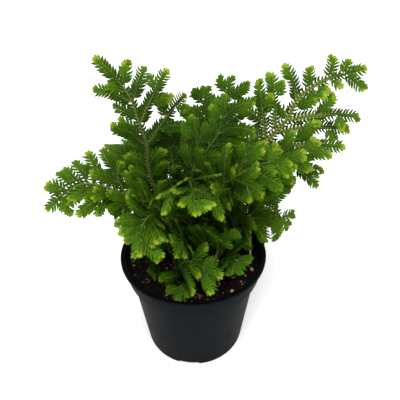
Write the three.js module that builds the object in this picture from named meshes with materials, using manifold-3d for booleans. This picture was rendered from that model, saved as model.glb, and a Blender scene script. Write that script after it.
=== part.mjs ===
// A potted spikemoss: a black plastic nursery pot filled with peat, from which upright stems rise and
// arch over into flat, forked sprays. Every stem, rib and leaflet of a spray is one closed skin, so each
// spray is a single solid that stands in its own hole in the peat. Stilt roots run from under three of
// the sprays down into the peat.
//
// Millimetres, +Z up. The origin is the centre of the pot's foot, on the surface it stands on.
// -Y is the front of the plant.
import * as THREE from "three";
import { mergeVertices } from "three/addons/utils/BufferGeometryUtils.js";
import Module from "manifold-3d";

const wasm = await Module();
wasm.setup();

// ---- Pot -----------------------------------------------------------------------------------------
const POT_HEIGHT = 96;
const RIM_RADIUS = 60;
const LIP_HEIGHT = 3;
const COLLAR_TOP_RADIUS = 57;
const COLLAR_FOOT_RADIUS = 56;
const COLLAR_HEIGHT = 18.4;
const BODY_TOP_RADIUS = 52.6;
const FOOT_RADIUS = 44;
const FOOT_ROUND = 2.5;
const WALL = 1.2;
const FLOOR_LIFT = 2.2;
const FOOT_WIDTH = 4;
const PAD_RADIUS = 14; // the pad in the middle of the floor, which stands level with the foot
const POT_SIDES = 36;
const NOTCH = { count: 4, width: 17, height: 1.5, turnDeg: -6 };
const DRAIN = { count: 6, radius: 4, ring: 27, sides: 8 };

// ---- Peat ----------------------------------------------------------------------------------------
const GAP = 0.3; // running gap between two neighbouring solids
const SOIL_TOP = 86;
const SOIL_RINGS = 4;
const HOLE_SIDES = 6;
const SINK = 9; // how deep a stem or root stands in the peat

// ---- Sprays --------------------------------------------------------------------------------------
const PITCH = 5.2; // one pair of leaflets
const STEM_PITCH = 13; // one stretch of bare stem
const LEAF_SPAN = 4.4; // from the rib's centre to a leaflet's tip
const LEAF_REACH = 5.2; // how far forward of its foot a leaflet's tip lies
const LEAF_DIP = 0.3; // how far a leaflet's tip hangs below its rib
const LEAF_SIZES = [1, 0.8, 0.6, 0.4]; // a leaflet is as large as the shoots round it allow
const SMALL_LEAVES = LEAF_SIZES.slice(2);
const RIB_HALF_WIDTH = { root: 1.1, crown: 2.4, tip: 2.1 };
const RIB_HALF_DEPTH = { root: 1.1, crown: 0.5, tip: 0.35 };
const LEAF_OUT = LEAF_SPAN - RIB_HALF_WIDTH.crown;
const TIP_LENGTH = 3;

const FORK_DEG = 48; // between a rib and the way to its side shoot's tip
const NEARNESS = 0.5; // degrees off the fork's angle that a millimetre nearer to the tip is worth
const PLACES = 7; // and how many steps of the rib are tried
const FORK_EVERY = 2; // pitches between two forks of a side shoot, which alternate
const FORK_SHARE = 0.6; // a fork's length, as a share of what is left of its shoot
const OUTWARD = 0.25; // the least share of its length that a side shoot goes out from its rib
const SWING = 0.45; // how much of its length a side shoot keeps to the fork's angle
const ARCH = 0.09; // how far a side shoot rises before its tip droops
const LIFTS_DEG = [0, 9, -9, 18, -18, 27, -27, 36, -36]; // ways past a crowded place
const SHORTER = [1, 0.8, 0.6]; // and shares of its length

// Half the clear space that a shoot keeps round the middle of each leaflet, and that a bare stem keeps.
const LEAF_ROOM = 1.15;
const STEM_ROOM = 1.1;
const ROOM_CELL = 5;
const STRIP = { side: 3.7, ahead: 3.2, up: 1.2 }; // what a shoot keeps clear of others' leaflet tips

// Each spray: the points that its stem and rib pass through from the peat to the tip, the way its
// upper side faces, how much of it is bare stem, where its side shoots' tips are, and the longest
// of the small shoots that fill in between them, in pitches.
const SPRAYS = {
  left_high: {
    path: [[-14, 0, SOIL_TOP], [-31, 5, 165], [-32, 10, 186], [-37, 15, 203], [-44, 20, 223], [-63, 25, 244]],
    face: [0, -0.75, 0.66],
    bare: 0.45,
    tips: [
      [-5, 42, 212], [-53, 6, 202], [-17, 36, 232], [-54, 22, 212], [-32, 32, 235], [-66, 22, 224],
      [-44, 26, 240],
    ],
    fill: 3,
  },
  left_low: {
    path: [[-15, -8, SOIL_TOP], [-21, -5, 135], [-49, -10, 158], [-76, -15, 170], [-100, -24, 156]],
    face: [0, -0.6, 0.8],
    bare: 0.38,
    tips: [
      [-53, -34, 159], [-35, -27, 165], [-63, 6, 185], [-76, -32, 157], [-72, 0, 186], [-81, -4, 181],
      [-91, -8, 175], [-99, -12, 167],
    ],
    fill: 4,
  },
  left_back: {
    path: [[-17, 10, SOIL_TOP], [-36, 22, 130], [-42, 28, 160], [-64, 34, 171]],
    face: [0, -0.5, 0.85],
    bare: 0.55,
    tips: [[-53, 42, 173], [-60, 26, 159]],
    fill: 4,
  },
  left_mid: {
    path: [[-20, 4, SOIL_TOP], [-28, 4, 123], [-34, 6, 151], [-46, 12, 162]],
    face: [0, -0.7, 0.7],
    bare: 0.5,
    tips: [[-39, 16, 171], [-28, -4, 169]],
    fill: 4,
  },
  front_left: {
    path: [[-14, -12, SOIL_TOP], [-22, -13, 122], [-27, -22, 148], [-33, -38, 151], [-35, -54, 140]],
    face: [0, -0.7, 0.7],
    bare: 0.48,
    tips: [[-51, -31, 156], [-49, -39, 152], [-19, -48, 148], [-22, -54, 138]],
    fill: 4,
  },
  front_high: {
    path: [[2, -6, SOIL_TOP], [-2, -9, 123], [-3, -16, 167], [0, -36, 183], [4, -62, 179]],
    face: [0, -0.6, 0.8],
    bare: 0.6,
    tips: [[-25, -40, 171], [-16, -54, 174], [17, -38, 172], [19, -54, 170]],
    fill: 4,
  },
  centre_high: {
    path: [[4, 2, SOIL_TOP], [-2, 0, 145], [3, 0, 177], [12, 2, 188], [20, 6, 201], [23, 15, 221]],
    face: [0, -0.85, 0.5],
    bare: 0.52,
    tips: [
      [-15, 14, 165], [25, -16, 182], [-4, 14, 188], [33, -8, 193], [0, 20, 204], [42, 0, 201],
      [42, 12, 217],
    ],
    fill: 3,
  },
  right_front: {
    path: [[12, -2, SOIL_TOP], [17, -8, 127], [20, -18, 166], [30, -26, 182], [45, -28, 192], [64, -24, 190]],
    face: [0, -0.6, 0.8],
    bare: 0.48,
    tips: [[13, -44, 186], [33, -8, 192], [30, -48, 176], [46, -10, 198], [43, -50, 183], [56, -40, 182]],
    fill: 4,
  },
  right_high: {
    path: [
      [14, 6, SOIL_TOP], [36, 10, 161], [52, 15, 181], [61, 18, 192], [70, 21, 202], [77, 24, 216],
      [95, 28, 227], [121, 31, 234],
    ],
    face: [-0.2, -0.7, 0.68],
    bare: 0.4,
    tips: [
      [109, 8, 185], [97, 2, 183], [48, 34, 223], [80, 2, 184], [118, 18, 204], [67, 38, 234],
      [65, 2, 190], [113, 14, 196], [120, 24, 222], [58, 36, 228], [84, 36, 232], [101, 38, 239],
      [62, 26, 208],
    ],
    fill: 4,
  },
  right_back: {
    path: [[16, 12, SOIL_TOP], [37, 20, 131], [64, 26, 150], [84, 27, 157], [103, 28, 155]],
    face: [0, -0.5, 0.85],
    bare: 0.4,
    tips: [[54, 4, 150], [80, 46, 165], [76, 8, 152], [98, 16, 147], [66, 4, 150]],
    fill: 4,
  },
  right_low: {
    path: [[18, -4, SOIL_TOP], [33, -3, 112], [35, -5, 133], [50, -7, 142], [63, -8, 138], [73, -8, 126]],
    face: [0, -0.75, 0.65],
    bare: 0.38,
    tips: [[32, -26, 131], [42, -24, 131], [54, -22, 123], [64, -16, 121], [51, 4, 137], [65, 0, 138]],
    fill: 4,
  },
  centre_low: {
    path: [[9, -14, SOIL_TOP], [9, -18, 98], [9, -24, 130], [17, -38, 140]],
    face: [0, -0.7, 0.7],
    bare: 0.4,
    tips: [[16, -47, 127], [31, -30, 136]],
    fill: 3,
  },
  centre_mid: {
    path: [[-3, -18, SOIL_TOP], [-4, -24, 118], [-6, -34, 136], [-10, -46, 131]],
    face: [0, -0.7, 0.7],
    bare: 0.5,
    tips: [],
    fill: 3,
  },
  front_low: {
    path: [[-12, -22, SOIL_TOP], [-13, -26, 95], [-5, -34, 114], [8, -42, 116], [20, -46, 111]],
    face: [0, -0.7, 0.7],
    bare: 0.3,
    tips: [[-24, -38, 103], [0, -53, 104], [13, -54, 103]],
    fill: 3,
  },
  front_foot: {
    path: [[-5, -32, SOIL_TOP], [-8, -39, 96], [-11, -50, 90]],
    face: [0, -0.4, 0.9],
    bare: 0.5,
    tips: [],
    fill: 2,
  },
  left_foot: {
    path: [[-22, -16, SOIL_TOP], [-28, -26, 100], [-30, -37, 105]],
    face: [0, -0.7, 0.7],
    bare: 0.45,
    tips: [],
    fill: 3,
  },
  right_foot: {
    path: [[18, -14, SOIL_TOP], [26, -20, 106], [31, -30, 113], [35, -38, 106]],
    face: [0, -0.6, 0.8],
    bare: 0.35,
    tips: [],
    fill: 3,
  },
  crown_left: {
    path: [[-8, 8, SOIL_TOP], [-12, 12, 137], [-15, 20, 169], [-20, 32, 194]],
    face: [0, -0.8, 0.6],
    bare: 0.55,
    tips: [[-30, 22, 185], [-4, 26, 193]],
    fill: 5,
  },
  crown_back: {
    path: [[0, 14, SOIL_TOP], [4, 14, 145], [9, 20, 186], [11, 36, 218]],
    face: [0, -0.8, 0.6],
    bare: 0.55,
    tips: [[2, 30, 219], [-4, 26, 205], [19, 30, 203]],
    fill: 4,
  },
  crown_right: {
    path: [[8, 14, SOIL_TOP], [15, 14, 145], [23, 26, 191], [29, 44, 223]],
    face: [0, -0.8, 0.6],
    bare: 0.6,
    tips: [[21, 42, 223], [41, 36, 220]],
    fill: 4,
  },
  rear_left: {
    path: [[-10, 22, SOIL_TOP], [-28, 48, 140], [-56, 78, 152], [-78, 96, 132]],
    face: [0, 0.2, 1],
    bare: 0.42,
    tips: [],
    fill: 7,
  },
  rear: {
    path: [[0, 28, SOIL_TOP], [0, 56, 146], [2, 92, 162], [4, 118, 144]],
    face: [0, 0.3, 1],
    bare: 0.42,
    tips: [],
    fill: 7,
  },
  rear_right: {
    path: [[14, 22, SOIL_TOP], [34, 48, 142], [60, 74, 150], [78, 92, 132]],
    face: [0, 0.2, 1],
    bare: 0.42,
    tips: [],
    fill: 7,
  },
};

// Stilt roots: each hangs from the underside of a spray's rib, at a share of the rib's length, and
// stands in the peat at its foot.
const STILT_HALF_WIDTH = 0.7;
const STILT_STEPS = 5;
const STILTS = {
  front: { spray: "centre_mid", share: 0.6, foot: [4, -27] },
  right: { spray: "right_low", share: 0.55, foot: [47, -8] },
  rear: { spray: "rear", share: 0.45, foot: [6, 42] },
};

const RADIANS = Math.PI / 180;
const vec = (x, y, z) => new THREE.Vector3(x, y, z);
const mix = (a, b, t) => a + (b - a) * t;

// ---- Solids --------------------------------------------------------------------------------------
function solidOf(geometry) {
  const bare = geometry.clone();
  bare.deleteAttribute("normal");
  bare.deleteAttribute("uv");
  const merged = mergeVertices(bare, 1e-4);
  return new wasm.Manifold(
    new wasm.Mesh({
      numProp: 3,
      vertProperties: merged.attributes.position.array,
      triVerts: new Uint32Array(merged.index.array),
    }),
  );
}

function geometryOf(solid) {
  const { vertProperties, triVerts } = solid.getMesh();
  return new THREE.BufferGeometry()
    .setAttribute("position", new THREE.BufferAttribute(vertProperties, 3))
    .setIndex(new THREE.BufferAttribute(triVerts, 1));
}

// ---- Pot -----------------------------------------------------------------------------------------
const floorTop = FLOOR_LIFT + WALL;
const ledge = POT_HEIGHT - COLLAR_HEIGHT;

// The radius of the pot's inner wall at a height.
function innerRadius(z) {
  if (z < ledge) return mix(FOOT_RADIUS, BODY_TOP_RADIUS, z / ledge) - WALL;
  const t = (z - ledge) / (POT_HEIGHT - LIP_HEIGHT - ledge);
  return mix(COLLAR_FOOT_RADIUS, COLLAR_TOP_RADIUS, Math.min(t, 1)) - WALL;
}

function potGeometry() {
  const lipFoot = POT_HEIGHT - LIP_HEIGHT;
  const profile = [
    [0, 0],
    [PAD_RADIUS, 0],
    [PAD_RADIUS + 1, FLOOR_LIFT],
    [FOOT_RADIUS - FOOT_WIDTH - 1, FLOOR_LIFT],
    [FOOT_RADIUS - FOOT_WIDTH, 0],
    [FOOT_RADIUS - FOOT_ROUND, 0],
    [FOOT_RADIUS - 0.25 * FOOT_ROUND, 0.35 * FOOT_ROUND],
    [FOOT_RADIUS + 0.1, FOOT_ROUND],
    [BODY_TOP_RADIUS, ledge],
    [COLLAR_FOOT_RADIUS, ledge + 1],
    [COLLAR_TOP_RADIUS, lipFoot],
    [RIM_RADIUS, lipFoot + 0.4],
    [RIM_RADIUS - 0.3, POT_HEIGHT],
    [COLLAR_TOP_RADIUS - WALL, POT_HEIGHT - 0.6],
    [innerRadius(ledge + 2), ledge + 2],
    [innerRadius(ledge - 0.01), ledge],
    [innerRadius(floorTop + 2), floorTop + 2],
    [innerRadius(floorTop) - 2, floorTop],
    [0, floorTop],
  ].map(([r, z]) => new THREE.Vector2(r, z));
  // LatheGeometry turns its profile round Y, so the pot is stood up afterwards.
  let pot = solidOf(new THREE.LatheGeometry(profile, POT_SIDES).rotateX(Math.PI / 2));
  for (let i = 0; i < NOTCH.count; i++) {
    const turn = ((i * 360) / NOTCH.count + NOTCH.turnDeg) * RADIANS;
    const notch = new THREE.BoxGeometry(NOTCH.width, 2 * FOOT_WIDTH + 4, 2 * NOTCH.height)
      .translate(0, -FOOT_RADIUS + 1, 0)
      .rotateZ(turn);
    pot = pot.subtract(solidOf(notch));
  }
  for (let i = 0; i < DRAIN.count; i++) {
    const turn = ((i + 0.5) * 2 * Math.PI) / DRAIN.count;
    const hole = new THREE.CylinderGeometry(DRAIN.radius, DRAIN.radius, 4 * WALL, DRAIN.sides)
      .rotateX(Math.PI / 2)
      .translate(DRAIN.ring * Math.cos(turn), DRAIN.ring * Math.sin(turn), FLOOR_LIFT + WALL / 2);
    pot = pot.subtract(solidOf(hole));
  }
  return geometryOf(pot);
}

// ---- Peat ----------------------------------------------------------------------------------------
// The peat's height at a point: level at the wall, lumpy and a little mounded round the stems.
function soilHeight(x, y) {
  const r = Math.hypot(x, y) / COLLAR_TOP_RADIUS;
  const mound = 3 * Math.max(0, 1 - r * r);
  const lumps = Math.sin(0.21 * x + 1) * Math.cos(0.19 * y) + 0.6 * Math.sin(0.47 * x - 0.38 * y);
  return SOIL_TOP - 2 + mound + 0.8 * lumps;
}

function soilGeometry(holes) {
  const ring = (radius, z) => {
    const points = [];
    for (let i = 0; i < POT_SIDES; i++) {
      const turn = (i * 2 * Math.PI) / POT_SIDES;
      const x = radius * Math.cos(turn);
      const y = radius * Math.sin(turn);
      points.push(vec(x, y, z ?? soilHeight(x, y)));
    }
    return points;
  };
  const fit = (z) => innerRadius(z) - GAP;
  const rings = [
    ring(fit(floorTop) - 3, floorTop + GAP),
    ring(fit(floorTop + 2), floorTop + 2 + GAP),
    ring(fit(ledge - 1), ledge),
    ring(fit(ledge + 2), ledge + 2 + 2 * GAP),
  ];
  const edge = fit(SOIL_TOP - 4);
  for (let i = 0; i < SOIL_RINGS; i++) rings.push(ring(edge * (1 - i / SOIL_RINGS)));
  const points = rings.flat();
  const foot = points.push(vec(0, 0, floorTop + GAP)) - 1;
  const top = points.push(vec(0, 0, soilHeight(0, 0))) - 1;
  const faces = [];
  for (let k = 0; k < rings.length; k++) {
    for (let i = 0; i < POT_SIDES; i++) {
      const j = (i + 1) % POT_SIDES;
      const a = k * POT_SIDES + i;
      const b = k * POT_SIDES + j;
      if (k === 0) faces.push(foot, b, a);
      if (k === rings.length - 1) faces.push(top, a, b);
      else faces.push(a, b, b + POT_SIDES, a, b + POT_SIDES, a + POT_SIDES);
    }
  }
  let soil = solidOf(new THREE.BufferGeometry().setFromPoints(points).setIndex(faces));
  for (const hole of holes) {
    const length = 2 * SINK;
    const bore = new THREE.CylinderGeometry(hole.radius, hole.radius, length, HOLE_SIDES)
      .rotateX(Math.PI / 2)
      .translate(0, 0, length / 2)
      .applyQuaternion(new THREE.Quaternion().setFromUnitVectors(vec(0, 0, 1), hole.heading))
      .translate(hole.foot.x, hole.foot.y, hole.foot.z);
    soil = soil.subtract(solidOf(bore));
  }
  return geometryOf(soil);
}

// ---- Room ----------------------------------------------------------------------------------------
// The places that shoots take up, so that no two of them cross.
class Room {
  cells = new Map();

  static cell = (v) => Math.floor(v / ROOM_CELL);

  take(spots) {
    for (const spot of spots) {
      const key = [spot.p.x, spot.p.y, spot.p.z].map(Room.cell).join();
      if (!this.cells.has(key)) this.cells.set(key, []);
      this.cells.get(key).push(spot);
    }
  }

  near(p) {
    const [x, y, z] = [p.x, p.y, p.z].map(Room.cell);
    const found = [];
    for (let i = x - 1; i <= x + 1; i++)
      for (let j = y - 1; j <= y + 1; j++)
        for (let k = z - 1; k <= z + 1; k++) found.push(...(this.cells.get([i, j, k].join()) ?? []));
    return found;
  }

  // Whether every spot is clear of the shoots already there, apart from its own rib near its foot.
  isFree(spots, rib) {
    const isFoot = (spot, other) =>
      other.shoot === rib && (spot.step < 1 || (spot.step < 2 && (spot.side || other.side)));
    return spots.every((spot) =>
      this.near(spot.p).every(
        (other) => isFoot(spot, other) || other.p.distanceTo(spot.p) >= other.room + spot.room,
      ),
    );
  }

  // Whether a leaflet's tip would touch another shoot.
  isCrowded(tip, shoot) {
    return this.near(tip).some((other) => {
      if (other.shoot === shoot || other.side) return false;
      const away = tip.clone().sub(other.p);
      return (
        Math.abs(away.dot(other.pose.s)) < STRIP.side &&
        Math.abs(away.dot(other.pose.h)) < STRIP.ahead &&
        Math.abs(away.dot(other.pose.n)) < STRIP.up
      );
    });
  }
}

// The spots that a shoot takes up: the stem's middle, or the middle of each leaflet.
function spotsOf(shoot) {
  const spots = [];
  shoot.poses.slice(0, -1).forEach((pose, step) => {
    const next = shoot.poses[step + 1];
    const foot = shoot.sign && step === 0;
    const leafy = step >= shoot.bare && !foot;
    const pieces = step >= shoot.bare ? 2 : Math.ceil(STEM_PITCH / ROOM_CELL);
    for (let k = 0; k < pieces; k++) {
      const middle = pose.p.clone().lerp(next.p, k / pieces);
      for (const side of leafy ? [-0.6, 0, 0.6] : [0]) {
        const p = middle.clone().addScaledVector(pose.s, side * LEAF_SPAN);
        spots.push({ p, pose, side, step, shoot, room: leafy ? LEAF_ROOM : STEM_ROOM });
      }
    }
  });
  const pose = shoot.poses.at(-1);
  const end = pose.p.clone().addScaledVector(pose.h, TIP_LENGTH / 2);
  spots.push({ p: end, pose, side: 0, step: shoot.poses.length, shoot, room: LEAF_ROOM });
  return spots;
}

// ---- Growth --------------------------------------------------------------------------------------
// A pose is a point on a rib with its heading h, the way up n and the right-hand side s.
function poseOf(p, h, up) {
  const heading = h.clone().normalize();
  const n = up.clone().addScaledVector(heading, -up.dot(heading)).normalize();
  return { p, h: heading, n, s: vec(0, 0, 0).crossVectors(heading, n) };
}

// The poses at some points in a row. The way up is given at one of them and carried along from there.
function posesAlong(points, up, given = 0) {
  const last = points.length - 1;
  const heading = (i) => points[Math.min(i + 1, last)].clone().sub(points[Math.max(i - 1, 0)]);
  const poses = [];
  poses[given] = poseOf(points[given], heading(given), up);
  for (let i = given + 1; i <= last; i++) poses[i] = poseOf(points[i], heading(i), poses[i - 1].n);
  for (let i = given - 1; i >= 0; i--) poses[i] = poseOf(points[i], heading(i), poses[i + 1].n);
  return poses;
}

// A spray's stem and rib, from the bottom of its hole to its tip.
function growRib({ path, face, bare }) {
  const through = path.map((p) => vec(...p));
  const rise = through[1].clone().sub(through[0]).normalize();
  through.unshift(through[0].clone().addScaledVector(rise, -SINK));
  const curve = new THREE.CatmullRomCurve3(through, false, "catmullrom", 0.5);
  const length = curve.getLength();
  const stemSteps = Math.max(2, Math.round((length * bare) / STEM_PITCH));
  const leafSteps = Math.round((length * (1 - bare)) / PITCH);
  const points = [];
  for (let i = 0; i < stemSteps; i++) points.push(curve.getPointAt((bare * i) / stemSteps));
  for (let i = 0; i <= leafSteps; i++) points.push(curve.getPointAt(mix(bare, 1, i / leafSteps)));
  const middle = stemSteps + Math.round(leafSteps / 2);
  return { poses: posesAlong(points, vec(...face), middle), bare: stemSteps, shoots: [] };
}

// A side shoot from step i of a rib towards a tip, swinging out and up first, or null if its way
// is taken whichever way it is lifted or shortened.
function growShoot(room, rib, i, sign, tip) {
  const from = rib.poses[i];
  const to = rib.poses[i + 1];
  const door = from.p.clone().lerp(to.p, 0.5).addScaledVector(from.s, sign * RIB_HALF_WIDTH.crown);
  for (const share of SHORTER) {
    for (const lift of LIFTS_DEG) {
      const chord = tip.clone().sub(door).multiplyScalar(share);
      chord.applyAxisAngle(from.h, sign * lift * RADIANS);
      const length = chord.length();
      const steps = Math.round(length / PITCH);
      if (steps < 1 || chord.dot(from.s) * sign < OUTWARD * length) continue;
      const turned = (v) => v.clone().applyAxisAngle(from.h, sign * lift * RADIANS);
      const bend = door
        .clone()
        .addScaledVector(from.h, SWING * length * Math.cos(FORK_DEG * RADIANS))
        .addScaledVector(turned(from.s), sign * SWING * length * Math.sin(FORK_DEG * RADIANS))
        .add(vec(0, 0, ARCH * length));
      const curve = new THREE.QuadraticBezierCurve3(door, bend, door.clone().add(chord));
      const up = turned(from.n);
      const shoot = { poses: posesAlong(curve.getPoints(steps), up), bare: 0, sign, at: i, shoots: [] };
      const spots = spotsOf(shoot);
      if (!room.isFree(spots, rib)) continue;
      room.take(spots);
      rib.shoots.push(shoot);
      return shoot;
    }
  }
  return null;
}

const isOpen = (rib, i, sign, apart) =>
  i >= rib.bare &&
  i < rib.poses.length - 1 &&
  rib.shoots.every((shoot) => shoot.sign !== sign || Math.abs(shoot.at - i) >= apart);

// A side shoot to a tip, from the open step of the rib that is near it and sees it at the fork's angle.
function growTowards(room, rib, tip) {
  const places = [];
  for (let i = rib.bare; i < rib.poses.length - 1; i++) {
    const { p, h, s } = rib.poses[i];
    const way = tip.clone().sub(p);
    const cost = Math.abs(way.angleTo(h) / RADIANS - FORK_DEG) + NEARNESS * way.length();
    places.push({ i, cost, sign: Math.sign(way.dot(s)) });
  }
  places.sort((a, b) => a.cost - b.cost);
  for (const { i, sign } of places.slice(0, PLACES)) {
    const shoot = isOpen(rib, i, sign, 2) && growShoot(room, rib, i, sign, tip);
    if (shoot) return shoot;
  }
  return null;
}

// A shoot by rule: steps long, at the fork's angle to its rib.
function growFork(room, rib, i, sign, steps) {
  const pose = rib.poses[i];
  const fork = FORK_DEG * RADIANS;
  const tip = pose.p
    .clone()
    .addScaledVector(pose.h, Math.cos(fork) * steps * PITCH)
    .addScaledVector(pose.s, sign * Math.sin(fork) * steps * PITCH);
  return growShoot(room, rib, i, sign, tip);
}

// The forks of a side shoot: first on the side away from its rib's tip, then in turn.
function growForks(room, shoot) {
  const steps = shoot.poses.length - 1;
  let sign = shoot.sign;
  for (let i = 2; i <= steps - 2; i += FORK_EVERY) {
    growFork(room, shoot, i, sign, Math.max(1, Math.round((steps - i) * FORK_SHARE)));
    sign = -sign;
  }
}

// The shoots that fill in along a rib: longest low down, one or two pitches long near the tip.
function growFill(room, rib, longest) {
  const steps = rib.poses.length - 1;
  const leafy = steps - rib.bare;
  for (let i = rib.bare + 1; i <= steps - 2; i++) {
    const t = (i - rib.bare) / leafy;
    const length = Math.round(1 + (longest - 1) * Math.min(1, 1.5 * (1 - t)));
    for (const sign of [-1, 1])
      if (isOpen(rib, i, sign, 2)) {
        const shoot = growFork(room, rib, i, sign, length);
        if (shoot) growForks(room, shoot);
      }
  }
}

function growSprays(room, ribs) {
  for (const { spray, rib } of ribs) {
    const shoots = spray.tips.map((tip) => growTowards(room, rib, vec(...tip)));
    shoots.filter(Boolean).forEach((shoot) => growForks(room, shoot));
  }
  ribs.forEach(({ spray, rib }) => growFill(room, rib, spray.fill));
}

// A stilt root, from its foot in the peat up to its rib.
function growStilt(rib, { share, foot }) {
  const { p, n } = rib.poses[Math.round(share * (rib.poses.length - 1))];
  const top = p.clone().addScaledVector(n, -RIB_HALF_DEPTH.crown - STILT_HALF_WIDTH - GAP);
  const ground = vec(...foot, SOIL_TOP);
  const bend = vec(mix(ground.x, top.x, 0.8), mix(ground.y, top.y, 0.8), mix(SOIL_TOP, top.z, 0.6));
  const points = new THREE.QuadraticBezierCurve3(ground, bend, top).getPoints(STILT_STEPS);
  const rise = points[1].clone().sub(ground).normalize();
  points.unshift(ground.clone().addScaledVector(rise, -SINK));
  return { poses: posesAlong(points, vec(0, -1, 0)), bare: points.length, shoots: [] };
}

function growStilts(room, ribs) {
  return Object.entries(STILTS).map(([name, stilt]) => {
    const { rib } = ribs.find((other) => other.name === stilt.spray);
    const root = growStilt(rib, stilt);
    room.take(spotsOf(root).filter(({ step }) => step < STILT_STEPS));
    return { name, root };
  });
}

// ---- Skins of stems, ribs and leaflets -----------------------------------------------------------
class Skin {
  points = [];
  faces = [];

  point(pose, side, up, ahead = 0) {
    const p = pose.p
      .clone()
      .addScaledVector(pose.s, side)
      .addScaledVector(pose.n, up)
      .addScaledVector(pose.h, ahead);
    return this.points.push(p) - 1;
  }

  // The four corners of a rib's section.
  ring(pose, halfWidth, halfDepth) {
    return {
      lt: this.point(pose, -halfWidth, halfDepth),
      rt: this.point(pose, halfWidth, halfDepth),
      rb: this.point(pose, halfWidth, -halfDepth),
      lb: this.point(pose, -halfWidth, -halfDepth),
    };
  }

  quad(a, b, c, d) {
    this.faces.push(a, b, c, a, c, d);
  }

  // Four edges drawn out to one point.
  spike(corners, apex) {
    corners.forEach((corner, i) => this.faces.push(corner, corners[(i + 1) % 4], apex));
  }

  geometry() {
    return new THREE.BufferGeometry().setFromPoints(this.points).setIndex(this.faces);
  }
}

// The side of a rib between two rings, and the same opening as the first ring of a side shoot.
const sideOf = (a, b, sign) => (sign < 0 ? [a.lb, a.lt, b.lt, b.lb] : [a.rb, b.rb, b.rt, a.rt]);
const doorOf = (a, b, sign) =>
  sign < 0 ? { lt: a.lt, lb: a.lb, rt: b.lt, rb: b.lb } : { lt: b.rt, lb: b.rb, rt: a.rt, rb: a.rb };

// The half width and depth of a rib's section at step i. The bare stem is as thick as its root.
function sectionAt(shoot, i) {
  if (i < shoot.bare) return [RIB_HALF_WIDTH.root, RIB_HALF_DEPTH.root];
  const t = (i - shoot.bare) / (shoot.poses.length - 1 - shoot.bare);
  return [mix(RIB_HALF_WIDTH.crown, RIB_HALF_WIDTH.tip, t), mix(RIB_HALF_DEPTH.crown, RIB_HALF_DEPTH.tip, t)];
}

// The sizes that a leaflet may have at step i: none on the bare stem and in the corner ahead of a
// fork, and small ones round the rest of the fork.
function leafSizes(shoot, i, sign) {
  const forkAt = (at) => shoot.shoots.some((other) => other.at === at && other.sign === sign);
  const inner = shoot.sign === -sign;
  if (i < shoot.bare || forkAt(i - 1) || (inner && i === 0)) return [];
  return forkAt(i + 1) || (inner && i === 1) || (shoot.sign && i === 0) ? SMALL_LEAVES : LEAF_SIZES;
}

// The tip of the leaflet at step i, or null where there is no room for one.
function leafTip(room, shoot, i, sign) {
  const { p, h, n, s } = shoot.poses[i];
  const [halfWidth] = sectionAt(shoot, i);
  for (const size of leafSizes(shoot, i, sign)) {
    const tip = p
      .clone()
      .addScaledVector(s, sign * (halfWidth + LEAF_OUT * size))
      .addScaledVector(h, mix(PITCH / 2, LEAF_REACH, size))
      .addScaledVector(n, -LEAF_DIP);
    if (!room.isCrowded(tip, shoot)) return tip;
  }
  return null;
}

function drawShoot(skin, room, shoot, start) {
  const { poses } = shoot;
  let last = start;
  for (let i = 0; i + 1 < poses.length; i++) {
    const next = skin.ring(poses[i + 1], ...sectionAt(shoot, i + 1));
    skin.quad(last.lt, last.rt, next.rt, next.lt);
    skin.quad(last.lb, next.lb, next.rb, last.rb);
    for (const sign of [-1, 1]) {
      const side = shoot.shoots.find((other) => other.at === i && other.sign === sign);
      const tip = leafTip(room, shoot, i, sign);
      if (side) drawShoot(skin, room, side, doorOf(last, next, sign));
      else if (tip) skin.spike(sideOf(last, next, sign), skin.points.push(tip) - 1);
      else skin.quad(...sideOf(last, next, sign));
    }
    last = next;
  }
  skin.spike([last.lt, last.rt, last.rb, last.lb], skin.point(poses.at(-1), 0, 0, TIP_LENGTH));
}

function sprayGeometry(room, rib) {
  const skin = new Skin();
  const root = skin.ring(rib.poses[0], RIB_HALF_WIDTH.root, RIB_HALF_DEPTH.root);
  skin.quad(root.lt, root.lb, root.rb, root.rt);
  drawShoot(skin, room, rib, root);
  return skin.geometry();
}

function stiltGeometry({ poses }) {
  const skin = new Skin();
  const rings = poses.map((pose) => skin.ring(pose, STILT_HALF_WIDTH, STILT_HALF_WIDTH));
  const end = rings.at(-1);
  skin.quad(rings[0].lt, rings[0].lb, rings[0].rb, rings[0].rt);
  skin.quad(end.lt, end.rt, end.rb, end.lb);
  for (let i = 0; i + 1 < rings.length; i++) {
    const [a, b] = [rings[i], rings[i + 1]];
    skin.quad(a.lt, a.rt, b.rt, b.lt);
    skin.quad(a.lb, b.lb, b.rb, a.rb);
    skin.quad(...sideOf(a, b, -1));
    skin.quad(...sideOf(a, b, 1));
  }
  return skin.geometry();
}

// ---- The plant -----------------------------------------------------------------------------------
const potPlastic = new THREE.MeshStandardMaterial({ color: 0x24282a, roughness: 0.55 });
const peat = new THREE.MeshStandardMaterial({ color: 0x1d120c, roughness: 1 });
const foliage = new THREE.MeshStandardMaterial({ color: 0x3f7a16, roughness: 0.5 });
const straw = new THREE.MeshStandardMaterial({ color: 0x9a8458, roughness: 0.7 });

const plant = new THREE.Group();

function place(name, geometry, material) {
  const mesh = new THREE.Mesh(geometry, material);
  mesh.name = name;
  plant.add(mesh);
}

const holes = [];

// A stem or root in the peat's hole.
function plantIn(name, { poses }, geometry, material, halfWidth) {
  const [foot] = poses;
  holes.push({
    foot: foot.p.clone().addScaledVector(foot.h, -GAP),
    heading: foot.h,
    radius: (Math.SQRT2 * halfWidth) / Math.cos(Math.PI / HOLE_SIDES) + GAP,
  });
  place(name, geometry, material);
}

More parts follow.
